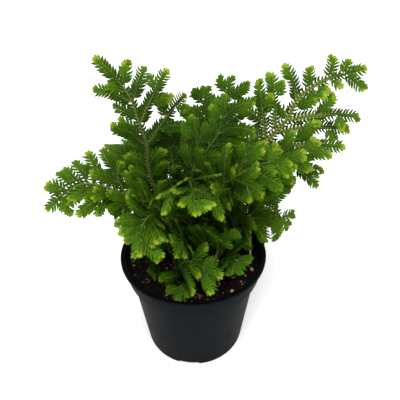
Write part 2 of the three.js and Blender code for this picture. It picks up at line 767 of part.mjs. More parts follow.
const room = new Room();
const ribs = Object.entries(SPRAYS).map(([name, spray]) => ({ name, spray, rib: growRib(spray) }));
ribs.forEach(({ rib }) => room.take(spotsOf(rib)));
const stilts = growStilts(room, ribs);
growSprays(room, ribs);
for (const { name, rib } of ribs) {
  plantIn("spray_" + name, rib, sprayGeometry(room, rib), foliage, RIB_HALF_WIDTH.root);
}
for (const { name, root } of stilts) {
  plantIn("stilt_" + name, root, stiltGeometry(root), straw, STILT_HALF_WIDTH);
}
place("pot", potGeometry(), potPlastic);
place("soil", soilGeometry(holes), peat);

export default plant;
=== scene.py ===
"""A potted spikemoss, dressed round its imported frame: every frond of the frame gets its round stem, its
branches, its two rows of side leaves and its two rows of small leaves along the top, and the pot and the
peat get their finer forms. Measures are in millimetres until a mesh is made. Run as a script in Blender.
"""

import math
from collections import defaultdict

import bmesh
import bpy
import numpy as np
from mathutils import Matrix, Vector, noise


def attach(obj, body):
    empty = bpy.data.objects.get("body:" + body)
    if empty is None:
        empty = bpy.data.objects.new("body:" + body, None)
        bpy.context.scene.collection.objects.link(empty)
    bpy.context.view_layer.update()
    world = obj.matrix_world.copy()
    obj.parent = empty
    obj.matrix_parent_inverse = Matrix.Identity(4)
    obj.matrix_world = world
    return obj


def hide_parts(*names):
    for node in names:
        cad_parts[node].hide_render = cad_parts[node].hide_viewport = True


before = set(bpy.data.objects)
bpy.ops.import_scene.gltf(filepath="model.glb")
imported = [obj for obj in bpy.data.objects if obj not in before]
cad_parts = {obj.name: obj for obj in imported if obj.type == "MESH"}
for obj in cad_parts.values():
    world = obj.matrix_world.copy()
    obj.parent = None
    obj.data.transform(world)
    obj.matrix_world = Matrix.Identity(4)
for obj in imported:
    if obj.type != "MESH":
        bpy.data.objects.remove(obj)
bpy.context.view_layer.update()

bl_info = {
    "name": "Potted spikemoss",
    "version": (1, 0, 0),
    "blender": (4, 5, 0),
    "location": "View3D > Sidebar > Spikemoss",
    "description": "Fronds, stilt roots, peat and pot of a spikemoss",
    "category": "Object",
}

MM = 0.001

# ---- Measures of the skeleton --------------------------------------------------------------------
SOIL_TOP = 86.0
SINK = 9.0  # how deep a stem or root stands in the peat
GAP = 0.3  # between two pieces that stand together
PITCH = 5.2  # one step of a leafy rib
STEM_PITCH = 13.0  # one step of bare stem
LEAF_SPAN = 4.4  # from a rib's middle to its leaves' tips
RIB_HALF_WIDTH = 2.4
RIB_HALF_DEPTH = 0.5
TIP_LENGTH = 3.0
FORK_DEG = 48.0  # between a rib and the way to its side shoot's tip
NEARNESS = 0.5  # degrees off the fork's angle that a millimetre nearer to the tip is worth
PLACES = 7  # steps of the rib that are tried
FORK_EVERY = 2
FORK_SHARE = 0.6  # the share of a shoot's remaining steps that its fork is long
OUTWARD = 0.25  # the least share of a side shoot's way that leads out from its rib
SWING = 0.45  # how far a side shoot first swings along the fork's angle, as a share of its length
ARCH = 0.09  # how far it arches up, as a share of its length
LIFTS_DEG = (0, 9, -9, 18, -18, 27, -27, 36, -36)  # turns round its rib that are tried
SHORTER = (1, 0.8, 0.6)  # shares of its length that are tried
LEAF_ROOM = 1.15
STEM_ROOM = 1.1
ROOM_CELL = 5.0
BESIDE = (-0.6, 0, 0.6)  # where a leafy step takes up room, in leaf spans to the side
STRIP = {"side": 3.7, "ahead": 3.2, "up": 1.2}  # half of a leafy step's own width, length and height
ARC_DIVISIONS = 200
FILL_TAPER = 1.5  # how fast the shoots that fill in get longer from a rib's tip down
STILT_BEND = {"out": 0.8, "up": 0.6}  # where a stilt root bends, as shares of its way

# The last small shoots, which stand closer.
OPEN_SPRAYS = ("left_high", "right_high")  # these get none
DENSE_SPRAYS = {"left_low": 3, "right_low": 7, "front_left": 4}  # one at every step, this long at most
CLOSE = 0.6  # the share of their room that they keep
LAST_APART = 2
LAST_SHORTEST = 3
LAST_LONGEST = 7
LAST_SHARE = 0.8  # the share of a rib's remaining steps that they are long
LAST_BARE = 3  # steps at a rib's tip without any

# Each spray: the points that its stem and rib pass through, the way its upper side faces, how much of it
# is bare stem, its side shoots' tips and the longest of the small shoots that fill in between them.
SPRAYS = {
    "left_high": {
        "path": [(-14, 0, 86), (-31, 5, 165), (-32, 10, 186), (-37, 15, 203), (-44, 20, 223), (-63, 25, 244)],
        "face": (0, -0.75, 0.66),
        "bare": 0.45,
        "tips": [
            (-5, 42, 212), (-53, 6, 202), (-17, 36, 232), (-54, 22, 212), (-32, 32, 235), (-66, 22, 224),
            (-44, 26, 240),
        ],
        "fill": 3,
    },
    "left_low": {
        "path": [(-15, -8, 86), (-21, -5, 135), (-49, -10, 158), (-76, -15, 170), (-100, -24, 156)],
        "face": (0, -0.6, 0.8),
        "bare": 0.38,
        "tips": [
            (-53, -34, 159), (-35, -27, 165), (-63, 6, 185), (-76, -32, 157), (-72, 0, 186),
            (-81, -4, 181), (-91, -8, 175), (-99, -12, 167),
        ],
        "fill": 4,
    },
    "left_back": {
        "path": [(-17, 10, 86), (-36, 22, 130), (-42, 28, 160), (-64, 34, 171)],
        "face": (0, -0.5, 0.85),
        "bare": 0.55,
        "tips": [(-53, 42, 173), (-60, 26, 159)],
        "fill": 4,
    },
    "left_mid": {
        "path": [(-20, 4, 86), (-28, 4, 123), (-34, 6, 151), (-46, 12, 162)],
        "face": (0, -0.7, 0.7),
        "bare": 0.5,
        "tips": [(-39, 16, 171), (-28, -4, 169)],
        "fill": 4,
    },
    "front_left": {
        "path": [(-14, -12, 86), (-22, -13, 122), (-27, -22, 148), (-33, -38, 151), (-35, -54, 140)],
        "face": (0, -0.7, 0.7),
        "bare": 0.48,
        "tips": [(-51, -31, 156), (-49, -39, 152), (-19, -48, 148), (-22, -54, 138)],
        "fill": 4,
    },
    "front_high": {
        "path": [(2, -6, 86), (-2, -9, 123), (-3, -16, 167), (0, -36, 183), (4, -62, 179)],
        "face": (0, -0.6, 0.8),
        "bare": 0.6,
        "tips": [(-25, -40, 171), (-16, -54, 174), (17, -38, 172), (19, -54, 170)],
        "fill": 4,
    },
    "centre_high": {
        "path": [(4, 2, 86), (-2, 0, 145), (3, 0, 177), (12, 2, 188), (20, 6, 201), (23, 15, 221)],
        "face": (0, -0.85, 0.5),
        "bare": 0.52,
        "tips": [
            (-15, 14, 165), (25, -16, 182), (-4, 14, 188), (33, -8, 193), (0, 20, 204), (42, 0, 201),
            (42, 12, 217),
        ],
        "fill": 3,
    },
    "right_front": {
        "path": [(12, -2, 86), (17, -8, 127), (20, -18, 166), (30, -26, 182), (45, -28, 192), (64, -24, 190)],
        "face": (0, -0.6, 0.8),
        "bare": 0.48,
        "tips": [
            (13, -44, 186), (33, -8, 192), (30, -48, 176), (46, -10, 198), (43, -50, 183), (56, -40, 182),
        ],
        "fill": 4,
    },
    "right_high": {
        "path": [
            (14, 6, 86), (36, 10, 161), (52, 15, 181), (61, 18, 192), (70, 21, 202), (77, 24, 216),
            (95, 28, 227), (121, 31, 234),
        ],
        "face": (-0.2, -0.7, 0.68),
        "bare": 0.4,
        "tips": [
            (109, 8, 185), (97, 2, 183), (48, 34, 223), (80, 2, 184), (118, 18, 204), (67, 38, 234),
            (65, 2, 190), (113, 14, 196), (120, 24, 222), (58, 36, 228), (84, 36, 232), (101, 38, 239),
            (62, 26, 208),
        ],
        "fill": 4,
    },
    "right_back": {
        "path": [(16, 12, 86), (37, 20, 131), (64, 26, 150), (84, 27, 157), (103, 28, 155)],
        "face": (0, -0.5, 0.85),
        "bare": 0.4,
        "tips": [(54, 4, 150), (80, 46, 165), (76, 8, 152), (98, 16, 147), (66, 4, 150)],
        "fill": 4,
    },
    "right_low": {
        "path": [(18, -4, 86), (33, -3, 112), (35, -5, 133), (50, -7, 142), (63, -8, 138), (73, -8, 126)],
        "face": (0, -0.75, 0.65),
        "bare": 0.38,
        "tips": [
            (32, -26, 131), (42, -24, 131), (54, -22, 123), (64, -16, 121), (51, 4, 137), (65, 0, 138),
        ],
        "fill": 4,
    },
    "centre_low": {
        "path": [(9, -14, 86), (9, -18, 98), (9, -24, 130), (17, -38, 140)],
        "face": (0, -0.7, 0.7),
        "bare": 0.4,
        "tips": [(16, -47, 127), (31, -30, 136)],
        "fill": 3,
    },
    "centre_mid": {
        "path": [(-3, -18, 86), (-4, -24, 118), (-6, -34, 136), (-10, -46, 131)],
        "face": (0, -0.7, 0.7),
        "bare": 0.5,
        "tips": [],
        "fill": 3,
    },
    "front_low": {
        "path": [(-12, -22, 86), (-13, -26, 95), (-5, -34, 114), (8, -42, 116), (20, -46, 111)],
        "face": (0, -0.7, 0.7),
        "bare": 0.3,
        "tips": [(-24, -38, 103), (0, -53, 104), (13, -54, 103)],
        "fill": 3,
    },
    "front_foot": {
        "path": [(-5, -32, 86), (-8, -39, 96), (-11, -50, 90)],
        "face": (0, -0.4, 0.9),
        "bare": 0.5,
        "tips": [],
        "fill": 2,
    },
    "left_foot": {
        "path": [(-22, -16, 86), (-28, -26, 100), (-30, -37, 105)],
        "face": (0, -0.7, 0.7),
        "bare": 0.45,
        "tips": [],
        "fill": 3,
    },
    "right_foot": {
        "path": [(18, -14, 86), (26, -20, 106), (31, -30, 113), (35, -38, 106)],
        "face": (0, -0.6, 0.8),
        "bare": 0.35,
        "tips": [],
        "fill": 3,
    },
    "crown_left": {
        "path": [(-8, 8, 86), (-12, 12, 137), (-15, 20, 169), (-20, 32, 194)],
        "face": (0, -0.8, 0.6),
        "bare": 0.55,
        "tips": [(-30, 22, 185), (-4, 26, 193)],
        "fill": 5,
    },
    "crown_back": {
        "path": [(0, 14, 86), (4, 14, 145), (9, 20, 186), (11, 36, 218)],
        "face": (0, -0.8, 0.6),
        "bare": 0.55,
        "tips": [(2, 30, 219), (-4, 26, 205), (19, 30, 203)],
        "fill": 4,
    },
    "crown_right": {
        "path": [(8, 14, 86), (15, 14, 145), (23, 26, 191), (29, 44, 223)],
        "face": (0, -0.8, 0.6),
        "bare": 0.6,
        "tips": [(21, 42, 223), (41, 36, 220)],
        "fill": 4,
    },
    "rear_left": {
        "path": [(-10, 22, 86), (-28, 48, 140), (-56, 78, 152), (-78, 96, 132)],
        "face": (0, 0.2, 1),
        "bare": 0.42,
        "tips": [],
        "fill": 7,
    },
    "rear": {
        "path": [(0, 28, 86), (0, 56, 146), (2, 92, 162), (4, 118, 144)],
        "face": (0, 0.3, 1),
        "bare": 0.42,
        "tips": [],
        "fill": 7,
    },
    "rear_right": {
        "path": [(14, 22, 86), (34, 48, 142), (60, 74, 150), (78, 92, 132)],
        "face": (0, 0.2, 1),
        "bare": 0.42,
        "tips": [],
        "fill": 7,
    },
}

STILT_RADIUS = 0.7
STILT_STEPS = 5
STILT_RINGS = 30
STILT_SIDES = 10
STILT_RIPPLE = 0.08
STILT_KNOTS = {"height": 0.12, "often": 0.9}  # a share of its radius, and radians a millimetre
STILT_SWELLING = {"share": 0.35, "fade": 3.0}  # how much thicker it is at its top, and how far that goes
STILTS = {
    "front": {"spray": "centre_mid", "share": 0.6, "foot": (4, -27)},
    "right": {"spray": "right_low", "share": 0.55, "foot": (47, -8)},
    "rear": {"spray": "rear", "share": 0.45, "foot": (6, 42)},
}

# ---- Measures of stems and leaves ----------------------------------------------------------------
STEM_TIP_RADIUS = 0.3
STEM_FOOT_RADIUS = 1.1
STEM_TAPER = 45.0  # from a shoot's tip to where its stem has two thirds of its full radius
STEM_RING = 2.6  # between two rings of a stem's surface
STEM_RIPPLE = 0.06  # how uneven it is, as a share of its radius
STEM_SIDES = 7
LOBE_SIDES = 5  # of a branchlet's stem
STEM_YOUTH_FADE = 40.0  # from a shoot's tip to where a third of its stem's young colour is left
TUBE_ENDS = (0.5, 0.8)  # how far the foot and the tip of a tube stand out, in radii

# Side leaves at a shoot's tip, full grown, and along its old part: the pitch from leaf to leaf, the angles
# in degrees that they start at and end at and are tilted by, and their other measures.
BUD = {
    "pitch": 1.0, "start": 26.0, "end": 6.0, "tilt": 22.0,
    "length": 3.0, "half_width": 1.2, "lift": 0.5, "droop": 0.7, "cup": 0.4,
}
GROWN = {
    "pitch": 2.4, "start": 66.0, "end": 38.0, "tilt": 20.0,
    "length": 6.0, "half_width": 1.22, "lift": 0.35, "droop": 1.2, "cup": 0.34,
}
OLD = {
    "pitch": 2.5, "start": 72.0, "end": 34.0, "tilt": 20.0,
    "length": 5.9, "half_width": 1.0, "lift": 0.3, "droop": 0.7, "cup": 0.34,
}
SIDE_FOOT = 0.7  # how far from the stem's middle they begin, in its radii
SIDE_SPREAD = {"start": 6.0, "end": 8.0, "length": 0.08, "tilt": 9.0, "lift": 0.15, "droop": 0.3}

# The small leaves along the top of a shoot, and how much shorter those at its tip are.
TOP_GROWN = {"start": 17.0, "end": -14.0, "length": 3.1, "half_width": 0.75}
TOP_OLD = {"start": 40.0, "end": -6.0, "length": 3.5, "half_width": 0.5}
TOP_BUD_SHORTER = 0.6
TOP_WIDENING = 0.3  # how much wider they are for a millimetre of the stem's radius
TOP_TILT = -14.0
TOP_LIFT = 0.35
TOP_SAME = {"droop": 0.1, "cup": 0.15}
TOP_FOOT_OUT = (0.5, 0.15)  # how far to the side they begin: a share of the stem's radius, and the rest
TOP_FOOT_UP = (0.75, 0.1)
TOP_SPREAD = {"start": 5.0, "tilt": 8.0, "lift": 0.1}
TOP_LEAST = 0.8  # the least size of one beside a smaller side leaf

# The leaves that are pressed to a bare stem. Their angles are in radians.
SCALE_PITCH = 4.2
SCALE_LENGTH = 3.4
SCALE_LIFT = 0.3
SCALE_FOOT = 0.9  # how far from the stem's middle they begin, in its radii
SCALE_SPREAD = {"length": 0.4, "lift": 0.1}
SCALE_SAME = {
    "start": 0.12, "bend": -0.2, "tilt": 0, "half_width": 0.82, "droop": 0.1, "cup": 0.2,
    "youth": 0.12, "pale": 0.15,
}
SCALES_ABOVE = 8.0  # how far over the peat they begin
LEAF_LEAD = 2.0  # how far below a spray's leafy part its leaves begin

ALTERNATION = 0.25  # how far either side's leaves are shifted, as a share of their pitch
FIRST_LEAF = 0.4  # from a shoot's tip to its first leaf
GROWN_BEHIND = 3.8  # from a shoot's tip to where its leaves are full grown
OLD_BEHIND = (11.0, 32.0)  # where they begin to stand apart, and where they all do
PALE_BEHIND = (12.0, 50.0)  # where the top leaves begin to go pale, and where they all are
YOUTH_FADE = 7.0  # from a shoot's tip to where a third of the young colour is left
YOUNG_PALENESS = 0.4  # of the top leaves before they begin to
SHOOT_VIGOUR = (0.75, 1.1)  # the least and the most of a spray's young colour that a shoot has
CLEARING = (1, 0.88, 0.75)  # shares of a leaf's size that are tried to keep it clear of other shoots

# What the leaves of a spray have of their own: the paleness of the top leaves along its old ribs, how soon
# its side leaves stand apart, and the strength of its young colour.
USUAL = {"paleness": 0.5, "ageing": 0.45, "vigour": 1.0}
UNUSUAL = {
    "left_high": {"paleness": 0.55, "ageing": 0.4, "vigour": 1.1},
    "left_back": {"vigour": 0.75},
    "left_mid": {"vigour": 0.7},
    "left_foot": {"vigour": 0.55},
    "front_foot": {"vigour": 0.6},
    "centre_high": {"vigour": 0.95},
    "centre_low": {"vigour": 0.7},
    "right_high": {"paleness": 0.95, "ageing": 0.85, "vigour": 1.15},
    "right_low": {"ageing": 0.6, "vigour": 0.75},
    "right_foot": {"vigour": 0.5},
    "crown_left": {"vigour": 0.75},
    "crown_back": {"ageing": 0.7, "vigour": 0.85},
    "crown_right": {"ageing": 0.7, "vigour": 0.8},
}

# Where a shoot forks, leaves make room.
FORK_BARE = (-0.2, 0.8)  # the part past a fork without leaves on the fork's side
FORK_SMALL = 3.0  # up to where they are small
CROTCH_BARE = 2.4  # the part of a side shoot without leaves on its rib's side
CROTCH_SMALL = 4.5  # up to where they are small
SMALL = 0.75  # the size that small leaves have there at most
SHOOT_BARE = 1.8  # the part of a side shoot inside its rib

# The youngest branchlets at a shoot's tip.
LOBES = ((-1, 2.8, 5.0), (1, 2.2, 4.6))  # hand, start behind the tip, length
LOBE_DEG = 34.0
LOBE_SPREAD_DEG = 6.0
LOBE_REACH = (0.92, 0.12)  # how far its tip is out at that angle and straight ahead, in lengths
LOBE_LEAF = 0.76  # the size of its leaves
LOBE_BARE = 1.6
LOBE_SHARE = 0.3  # the share of the tips' sides that has one
LOBE_CLEAR = 9.0  # from the tip to the nearest fork on its side
LOBE_START = 2.0  # from a shoot's foot to its nearest lobe
LOBE_ROOM = 2.6  # from its tip to the nearest other shoot

# ---- Measures of the pot and the peat ------------------------------------------------------------
POT_HEIGHT = 96.0
RIM_RADIUS = 60.0
LIP_HEIGHT = 3.0
LIP_EDGE = 0.5  # how far in the lip's outer side ends
COLLAR_TOP_RADIUS = 57.0
COLLAR_FOOT_RADIUS = 56.0
COLLAR_HEIGHT = 18.4
BODY_TOP_RADIUS = 52.6
FOOT_RADIUS = 44.0
FOOT_ROUND = 1.2
WALL = 1.2
FLOOR_LIFT = 2.2
FOOT_WIDTH = 4.0
PAD_RADIUS = 14.0
NOTCH = {"count": 4, "width": 17.5, "height": 2.6, "turn_deg": -6.0}
DRAIN = {"count": 6, "radius": 4.0, "ring": 27.0, "columns": 32}
NOTCH_BAND = 4.0  # the height from which the wall runs on evenly above the notches
POT_COLUMNS = 192

LEDGE = POT_HEIGHT - COLLAR_HEIGHT
FLOOR_TOP = FLOOR_LIFT + WALL

SOIL_COLUMNS = 200
SOIL_RINGS = 60
PEAT_BANK = 3.2  # how far the peat climbs up at the wall
BANK_FROM = (0.7, 0.95)  # where it begins and ends to climb, in radii of the collar
STREWN_RADIUS = 52.0  # of the grains, bark and perlite
GRAIN_SUNK = 0.3  # the share of a grain that lies in the peat
GRAIN_LEAN = 0.5  # in radians

# ---- Measures of the stage -----------------------------------------------------------------------
FLOOR_RADIUS = 6000.0
FLOOR_WALL = 2200.0  # how high the floor goes up all round
FLOOR_CORNER = 900.0
FLOOR_COLUMNS = 96
CAMERA = {"aim": (5.9, 0, 145.2), "tilt_deg": 34.9, "roll_deg": -0.56, "far": 300.0, "lens": 35.49}
LAMP_AIM = (0, 0, 0.15)  # in metres, as the places of the lamps are
KEY_LAMP = {"place": (-0.1, -0.5, 1.25), "width_deg": 50}
BACK_LAMP = {"place": (0.3, 0.7, 1.1), "width_deg": 60}
ROOM_LIGHT = 0.08

# How deep inside the plant the leaves and stems lie in the dark, for the painted shade that darkens them
# there, in metres.
PAINTED_SHADE_HEIGHTS = (0.098, 0.15)  # between the stems: up to where in full, and where no more
PAINTED_SHADE_RADII = (0.028, 0.062)
HEART = (0.0, 0.012, 0.165)  # the middle of the leaves
HEART_RADII = (0.03, 0.085)
HEART_SHARE = 0.7


# ---- Points and ways, as tuples of three ---------------------------------------------------------
def plus(a, b):
    return (a[0] + b[0], a[1] + b[1], a[2] + b[2])


def minus(a, b):
    return (a[0] - b[0], a[1] - b[1], a[2] - b[2])


def scaled(a, k):
    return (a[0] * k, a[1] * k, a[2] * k)


def moved(p, way, far):
    return (p[0] + way[0] * far, p[1] + way[1] * far, p[2] + way[2] * far)


def between(a, b, t):
    return (a[0] + (b[0] - a[0]) * t, a[1] + (b[1] - a[1]) * t, a[2] + (b[2] - a[2]) * t)


def dot(a, b):
    return a[0] * b[0] + a[1] * b[1] + a[2] * b[2]


def cross(a, b):
    return (a[1] * b[2] - a[2] * b[1], a[2] * b[0] - a[0] * b[2], a[0] * b[1] - a[1] * b[0])


def length_of(a):
    return math.sqrt(dot(a, a))


def unit(a):
    return scaled(a, 1 / length_of(a))


def turned(v, axis, angle):
    """v turned round a unit axis."""
    c = math.cos(angle)
    k = dot(axis, v) * (1 - c)
    side = cross(axis, v)
    s = math.sin(angle)
    return tuple(v[i] * c + side[i] * s + axis[i] * k for i in range(3))


def nearest(x):
    return math.floor(x + 0.5)


def mix(a, b, t):
    return a + (b - a) * t


# ---- Curves --------------------------------------------------------------------------------------
class Curve:
    """A smooth curve through points, measured along its length."""

    def __init__(self, points):
        first = minus(scaled(points[0], 2), points[1])
        last = minus(scaled(points[-1], 2), points[-2])
        self.points = [first, *points, last]
        self.spans = len(points) - 1
        self.lengths = [0.0]
        before = self.at(0)
        for i in range(1, ARC_DIVISIONS + 1):
            here = self.at(i / ARC_DIVISIONS)
            self.lengths.append(self.lengths[-1] + length_of(minus(here, before)))
            before = here

    def at(self, t):
        place = self.spans * t
        i = min(math.floor(place), self.spans - 1)
        w = place - i
        a, b, c, d = self.points[i : i + 4]
        return tuple(self._blend(a[k], b[k], c[k], d[k], w) for k in range(3))

    @staticmethod
    def _blend(a, b, c, d, w):
        t0 = 0.5 * (c - a)
        t1 = 0.5 * (d - b)
        square = -3 * b + 3 * c - 2 * t0 - t1
        cube = 2 * b - 2 * c + t0 + t1
        return b + t0 * w + square * w * w + cube * w * w * w

    def along(self, share):
        """The point at a share of the curve's length."""
        want = share * self.lengths[-1]
        low, high = 0, ARC_DIVISIONS
        while low < high - 1:
            middle = (low + high) // 2
            if self.lengths[middle] <= want:
                low = middle
            else:
                high = middle
        part = (want - self.lengths[low]) / (self.lengths[low + 1] - self.lengths[low])
        return self.at((low + part) / ARC_DIVISIONS)


def bow(a, bend, b, steps):
    """Points of a curve from a to b that is drawn towards bend."""
    points = []
    for i in range(steps + 1):
        t = i / steps
        k = 1 - t
        points.append(tuple(k * k * a[j] + 2 * k * t * bend[j] + t * t * b[j] for j in range(3)))
    return points


# ---- Room ----------------------------------------------------------------------------------------
class Room:
    """The places that shoots take up, so that no two of them cross."""

    def __init__(self):
        self.cells = defaultdict(list)
        self.ease = 1.0  # the share of their room that new shoots keep

    @staticmethod
    def cell(p):
        return tuple(math.floor(v / ROOM_CELL) for v in p)

    def take(self, spots):
        for spot in spots:
            self.cells[self.cell(spot["p"])].append(spot)

    def near(self, p):
        x, y, z = self.cell(p)
        for i in (x - 1, x, x + 1):
            for j in (y - 1, y, y + 1):
                for k in (z - 1, z, z + 1):
                    yield from self.cells.get((i, j, k), ())

    def is_free(self, spots, rib):
        """Whether every spot is clear of the shoots already there, apart from its own rib near its foot."""
        for spot in spots:
            p, step, side = spot["p"], spot["step"], spot["side"]
            for other in self.near(p):
                if other["shoot"] is rib and (step < 1 or (step < 2 and (side or other["side"]))):
                    continue
                if length_of(minus(other["p"], p)) < self.ease * (other["room"] + spot["room"]):
                    return False
        return True

    def is_taken(self, tip, shoot):
        """Whether a branchlet's tip would touch another shoot."""
        return any(
            other["shoot"] is not shoot and length_of(minus(other["p"], tip)) < LOBE_ROOM
            for other in self.near(tip)
        )

    def is_crowded(self, tip, shoot):
        """Whether a leaf's tip would touch another shoot."""
        for other in self.near(tip):
            if other["shoot"] is shoot or other["side"]:
                continue
            _, h, n, s = other["pose"]
            away = minus(tip, other["p"])
            beside = abs(dot(away, s)) < STRIP["side"] and abs(dot(away, h)) < STRIP["ahead"]
            if beside and abs(dot(away, n)) < STRIP["up"]:
                return True
        return False


# ---- Growth --------------------------------------------------------------------------------------
class Shoot:
    """Poses along a rib, each a point, its heading, the way up and the right-hand side."""

    def __init__(self, poses, bare=0, sign=0, at=None, rib=None):
        self.poses = poses
        self.bare = bare
        self.sign = sign
        self.at = at
        self.rib = rib
        self.shoots = []

    def spots(self):
        """The places that it takes up: the stem's middle, or the middle of each leaf."""
        spots = []
        for step, (pose, after) in enumerate(zip(self.poses, self.poses[1:])):
            leafy = step >= self.bare and not (self.sign and step == 0)
            pieces = 2 if step >= self.bare else math.ceil(STEM_PITCH / ROOM_CELL)
            for k in range(pieces):
                middle = between(pose[0], after[0], k / pieces)
                for side in BESIDE if leafy else (0,):
                    p = moved(middle, pose[3], side * LEAF_SPAN)
                    spots.append(self._spot(p, pose, side, step, LEAF_ROOM if leafy else STEM_ROOM))
        pose = self.poses[-1]
        end = moved(pose[0], pose[1], TIP_LENGTH / 2)
        spots.append(self._spot(end, pose, 0, len(self.poses), LEAF_ROOM))
        return spots

    def _spot(self, p, pose, side, step, room):
        return {"p": p, "pose": pose, "side": side, "step": step, "shoot": self, "room": room}

    def is_open(self, i, sign, apart=2):
        """Whether a side shoot may start at step i."""
        if not self.bare <= i < len(self.poses) - 1:
            return False
        return all(other.sign != sign or abs(other.at - i) >= apart for other in self.shoots)


def pose_of(p, h, up):
    heading = unit(h)
    n = unit(moved(up, heading, -dot(up, heading)))
    return (p, heading, n, cross(heading, n))


def poses_along(points, up, given=0):
    """The poses at points in a row. The way up is given at one of them and carried along from there."""
    last = len(points) - 1
    headings = [minus(points[min(i + 1, last)], points[max(i - 1, 0)]) for i in range(last + 1)]
    poses = [None] * (last + 1)
    poses[given] = pose_of(points[given], headings[given], up)
    for i in range(given + 1, last + 1):
        poses[i] = pose_of(points[i], headings[i], poses[i - 1][2])
    for i in range(given - 1, -1, -1):
        poses[i] = pose_of(points[i], headings[i], poses[i + 1][2])
    return poses


def grow_rib(path, face, bare, **_):
    """A spray's stem and rib, from the bottom of its hole to its tip."""
    through = [tuple(map(float, p)) for p in path]
    rise = unit(minus(through[1], through[0]))
    curve = Curve([moved(through[0], rise, -SINK), *through])
    length = curve.lengths[-1]
    stem_steps = max(2, nearest(length * bare / STEM_PITCH))
    leaf_steps = nearest(length * (1 - bare) / PITCH)
    shares = [bare * i / stem_steps for i in range(stem_steps)]
    shares += [mix(bare, 1, i / leaf_steps) for i in range(leaf_steps + 1)]
    points = [curve.along(share) for share in shares]
    middle = stem_steps + nearest(leaf_steps / 2)
    return Shoot(poses_along(points, face, middle), bare=stem_steps)


def grow_shoot(room, rib, i, sign, tip):
    """A side shoot from step i of a rib towards a tip, swinging out and up first, or None if its way is
    taken whichever way it is lifted or shortened."""
    p, h, n, s = rib.poses[i]
    door = moved(between(p, rib.poses[i + 1][0], 0.5), s, sign * RIB_HALF_WIDTH)
    fork = math.radians(FORK_DEG)
    for share in SHORTER:
        for lift in LIFTS_DEG:
            angle = sign * math.radians(lift)
            chord = turned(scaled(minus(tip, door), share), h, angle)
            length = length_of(chord)
            steps = nearest(length / PITCH)
            if steps < 1 or dot(chord, s) * sign < OUTWARD * length:
                continue
            bend = moved(door, h, SWING * length * math.cos(fork))
            bend = moved(bend, turned(s, h, angle), sign * SWING * length * math.sin(fork))
            bend = plus(bend, (0, 0, ARCH * length))
            points = bow(door, bend, plus(door, chord), steps)
            shoot = Shoot(poses_along(points, turned(n, h, angle)), sign=sign, at=i, rib=rib)
            spots = shoot.spots()
            if room.is_free(spots, rib):
                room.take(spots)
                rib.shoots.append(shoot)
                return shoot
    return None


def grow_towards(room, rib, tip):
    """A side shoot to a tip, from the open step of the rib that sees it nearest to the fork's angle."""
    places = []
    for i in range(rib.bare, len(rib.poses) - 1):
        p, h, _, s = rib.poses[i]
        way = minus(tip, p)
        off = dot(way, h) / math.sqrt(dot(way, way) * dot(h, h))
        angle = math.degrees(math.acos(max(-1, min(1, off))))
        cost = abs(angle - FORK_DEG) + NEARNESS * length_of(way)
        places.append((cost, i, 1 if dot(way, s) > 0 else -1))
    places.sort(key=lambda place: place[0])
    for _, i, sign in places[:PLACES]:
        shoot = rib.is_open(i, sign) and grow_shoot(room, rib, i, sign, tip)
        if shoot:
            return shoot
    return None


def grow_fork(room, rib, i, sign, steps):
    """A shoot by rule: steps long, at the fork's angle to its rib."""
    p, h, _, s = rib.poses[i]
    fork = math.radians(FORK_DEG)
    tip = moved(p, h, math.cos(fork) * steps * PITCH)
    tip = moved(tip, s, sign * math.sin(fork) * steps * PITCH)
    return grow_shoot(room, rib, i, sign, tip)


def grow_forks(room, shoot):
    """The forks of a side shoot: first on the side away from its rib's tip, then in turn."""
    steps = len(shoot.poses) - 1
    sign = shoot.sign
    for i in range(2, steps - 1, FORK_EVERY):
        grow_fork(room, shoot, i, sign, max(1, nearest((steps - i) * FORK_SHARE)))
        sign = -sign


def grow_fill(room, rib, longest):
    """The shoots that fill in along a rib: longest low down, one or two steps long near the tip."""
    steps = len(rib.poses) - 1
    leafy = steps - rib.bare
    for i in range(rib.bare + 1, steps - 1):
        t = (i - rib.bare) / leafy
        length = nearest(1 + (longest - 1) * min(1, FILL_TAPER * (1 - t)))
        for sign in (-1, 1):
            if rib.is_open(i, sign):
                shoot = grow_fork(room, rib, i, sign, length)
                if shoot:
                    grow_forks(room, shoot)


def thicken(room, rib, apart=LAST_APART, longest=LAST_LONGEST):
    """The last, closer shoots: low ones along the bare stem, and forks between those of each shoot."""
    for i in range(2, rib.bare):
        for sign in (-1, 1):
            if all(other.sign != sign or other.at != i for other in rib.shoots):
                grow_fork(room, rib, i, sign, LAST_SHORTEST + (i + sign) % 2)
    steps = len(rib.poses) - 1
    for i in range(rib.bare + 1, steps - LAST_BARE):
        length = max(LAST_SHORTEST, min(longest, nearest((steps - i) * LAST_SHARE)))
        for sign in (-1, 1):
            if rib.is_open(i, sign, apart):
                grow_fork(room, rib, i, sign, length)
    for shoot in list(rib.shoots):
        thicken(room, shoot)


def grow_stilt(rib, share, foot):
    """A stilt root, from its foot in the peat up to its rib."""
    p, _, n, _ = rib.poses[nearest(share * (len(rib.poses) - 1))]
    top = moved(p, n, -RIB_HALF_DEPTH - STILT_RADIUS - GAP)
    ground = (foot[0], foot[1], SOIL_TOP)
    out, up = STILT_BEND["out"], STILT_BEND["up"]
    bend = (mix(ground[0], top[0], out), mix(ground[1], top[1], out), mix(SOIL_TOP, top[2], up))
    points = bow(ground, bend, top, STILT_STEPS)
    rise = unit(minus(points[1], ground))
    points = [moved(ground, rise, -SINK), *points]
    return Shoot(poses_along(points, (0, -1, 0)), bare=len(points))


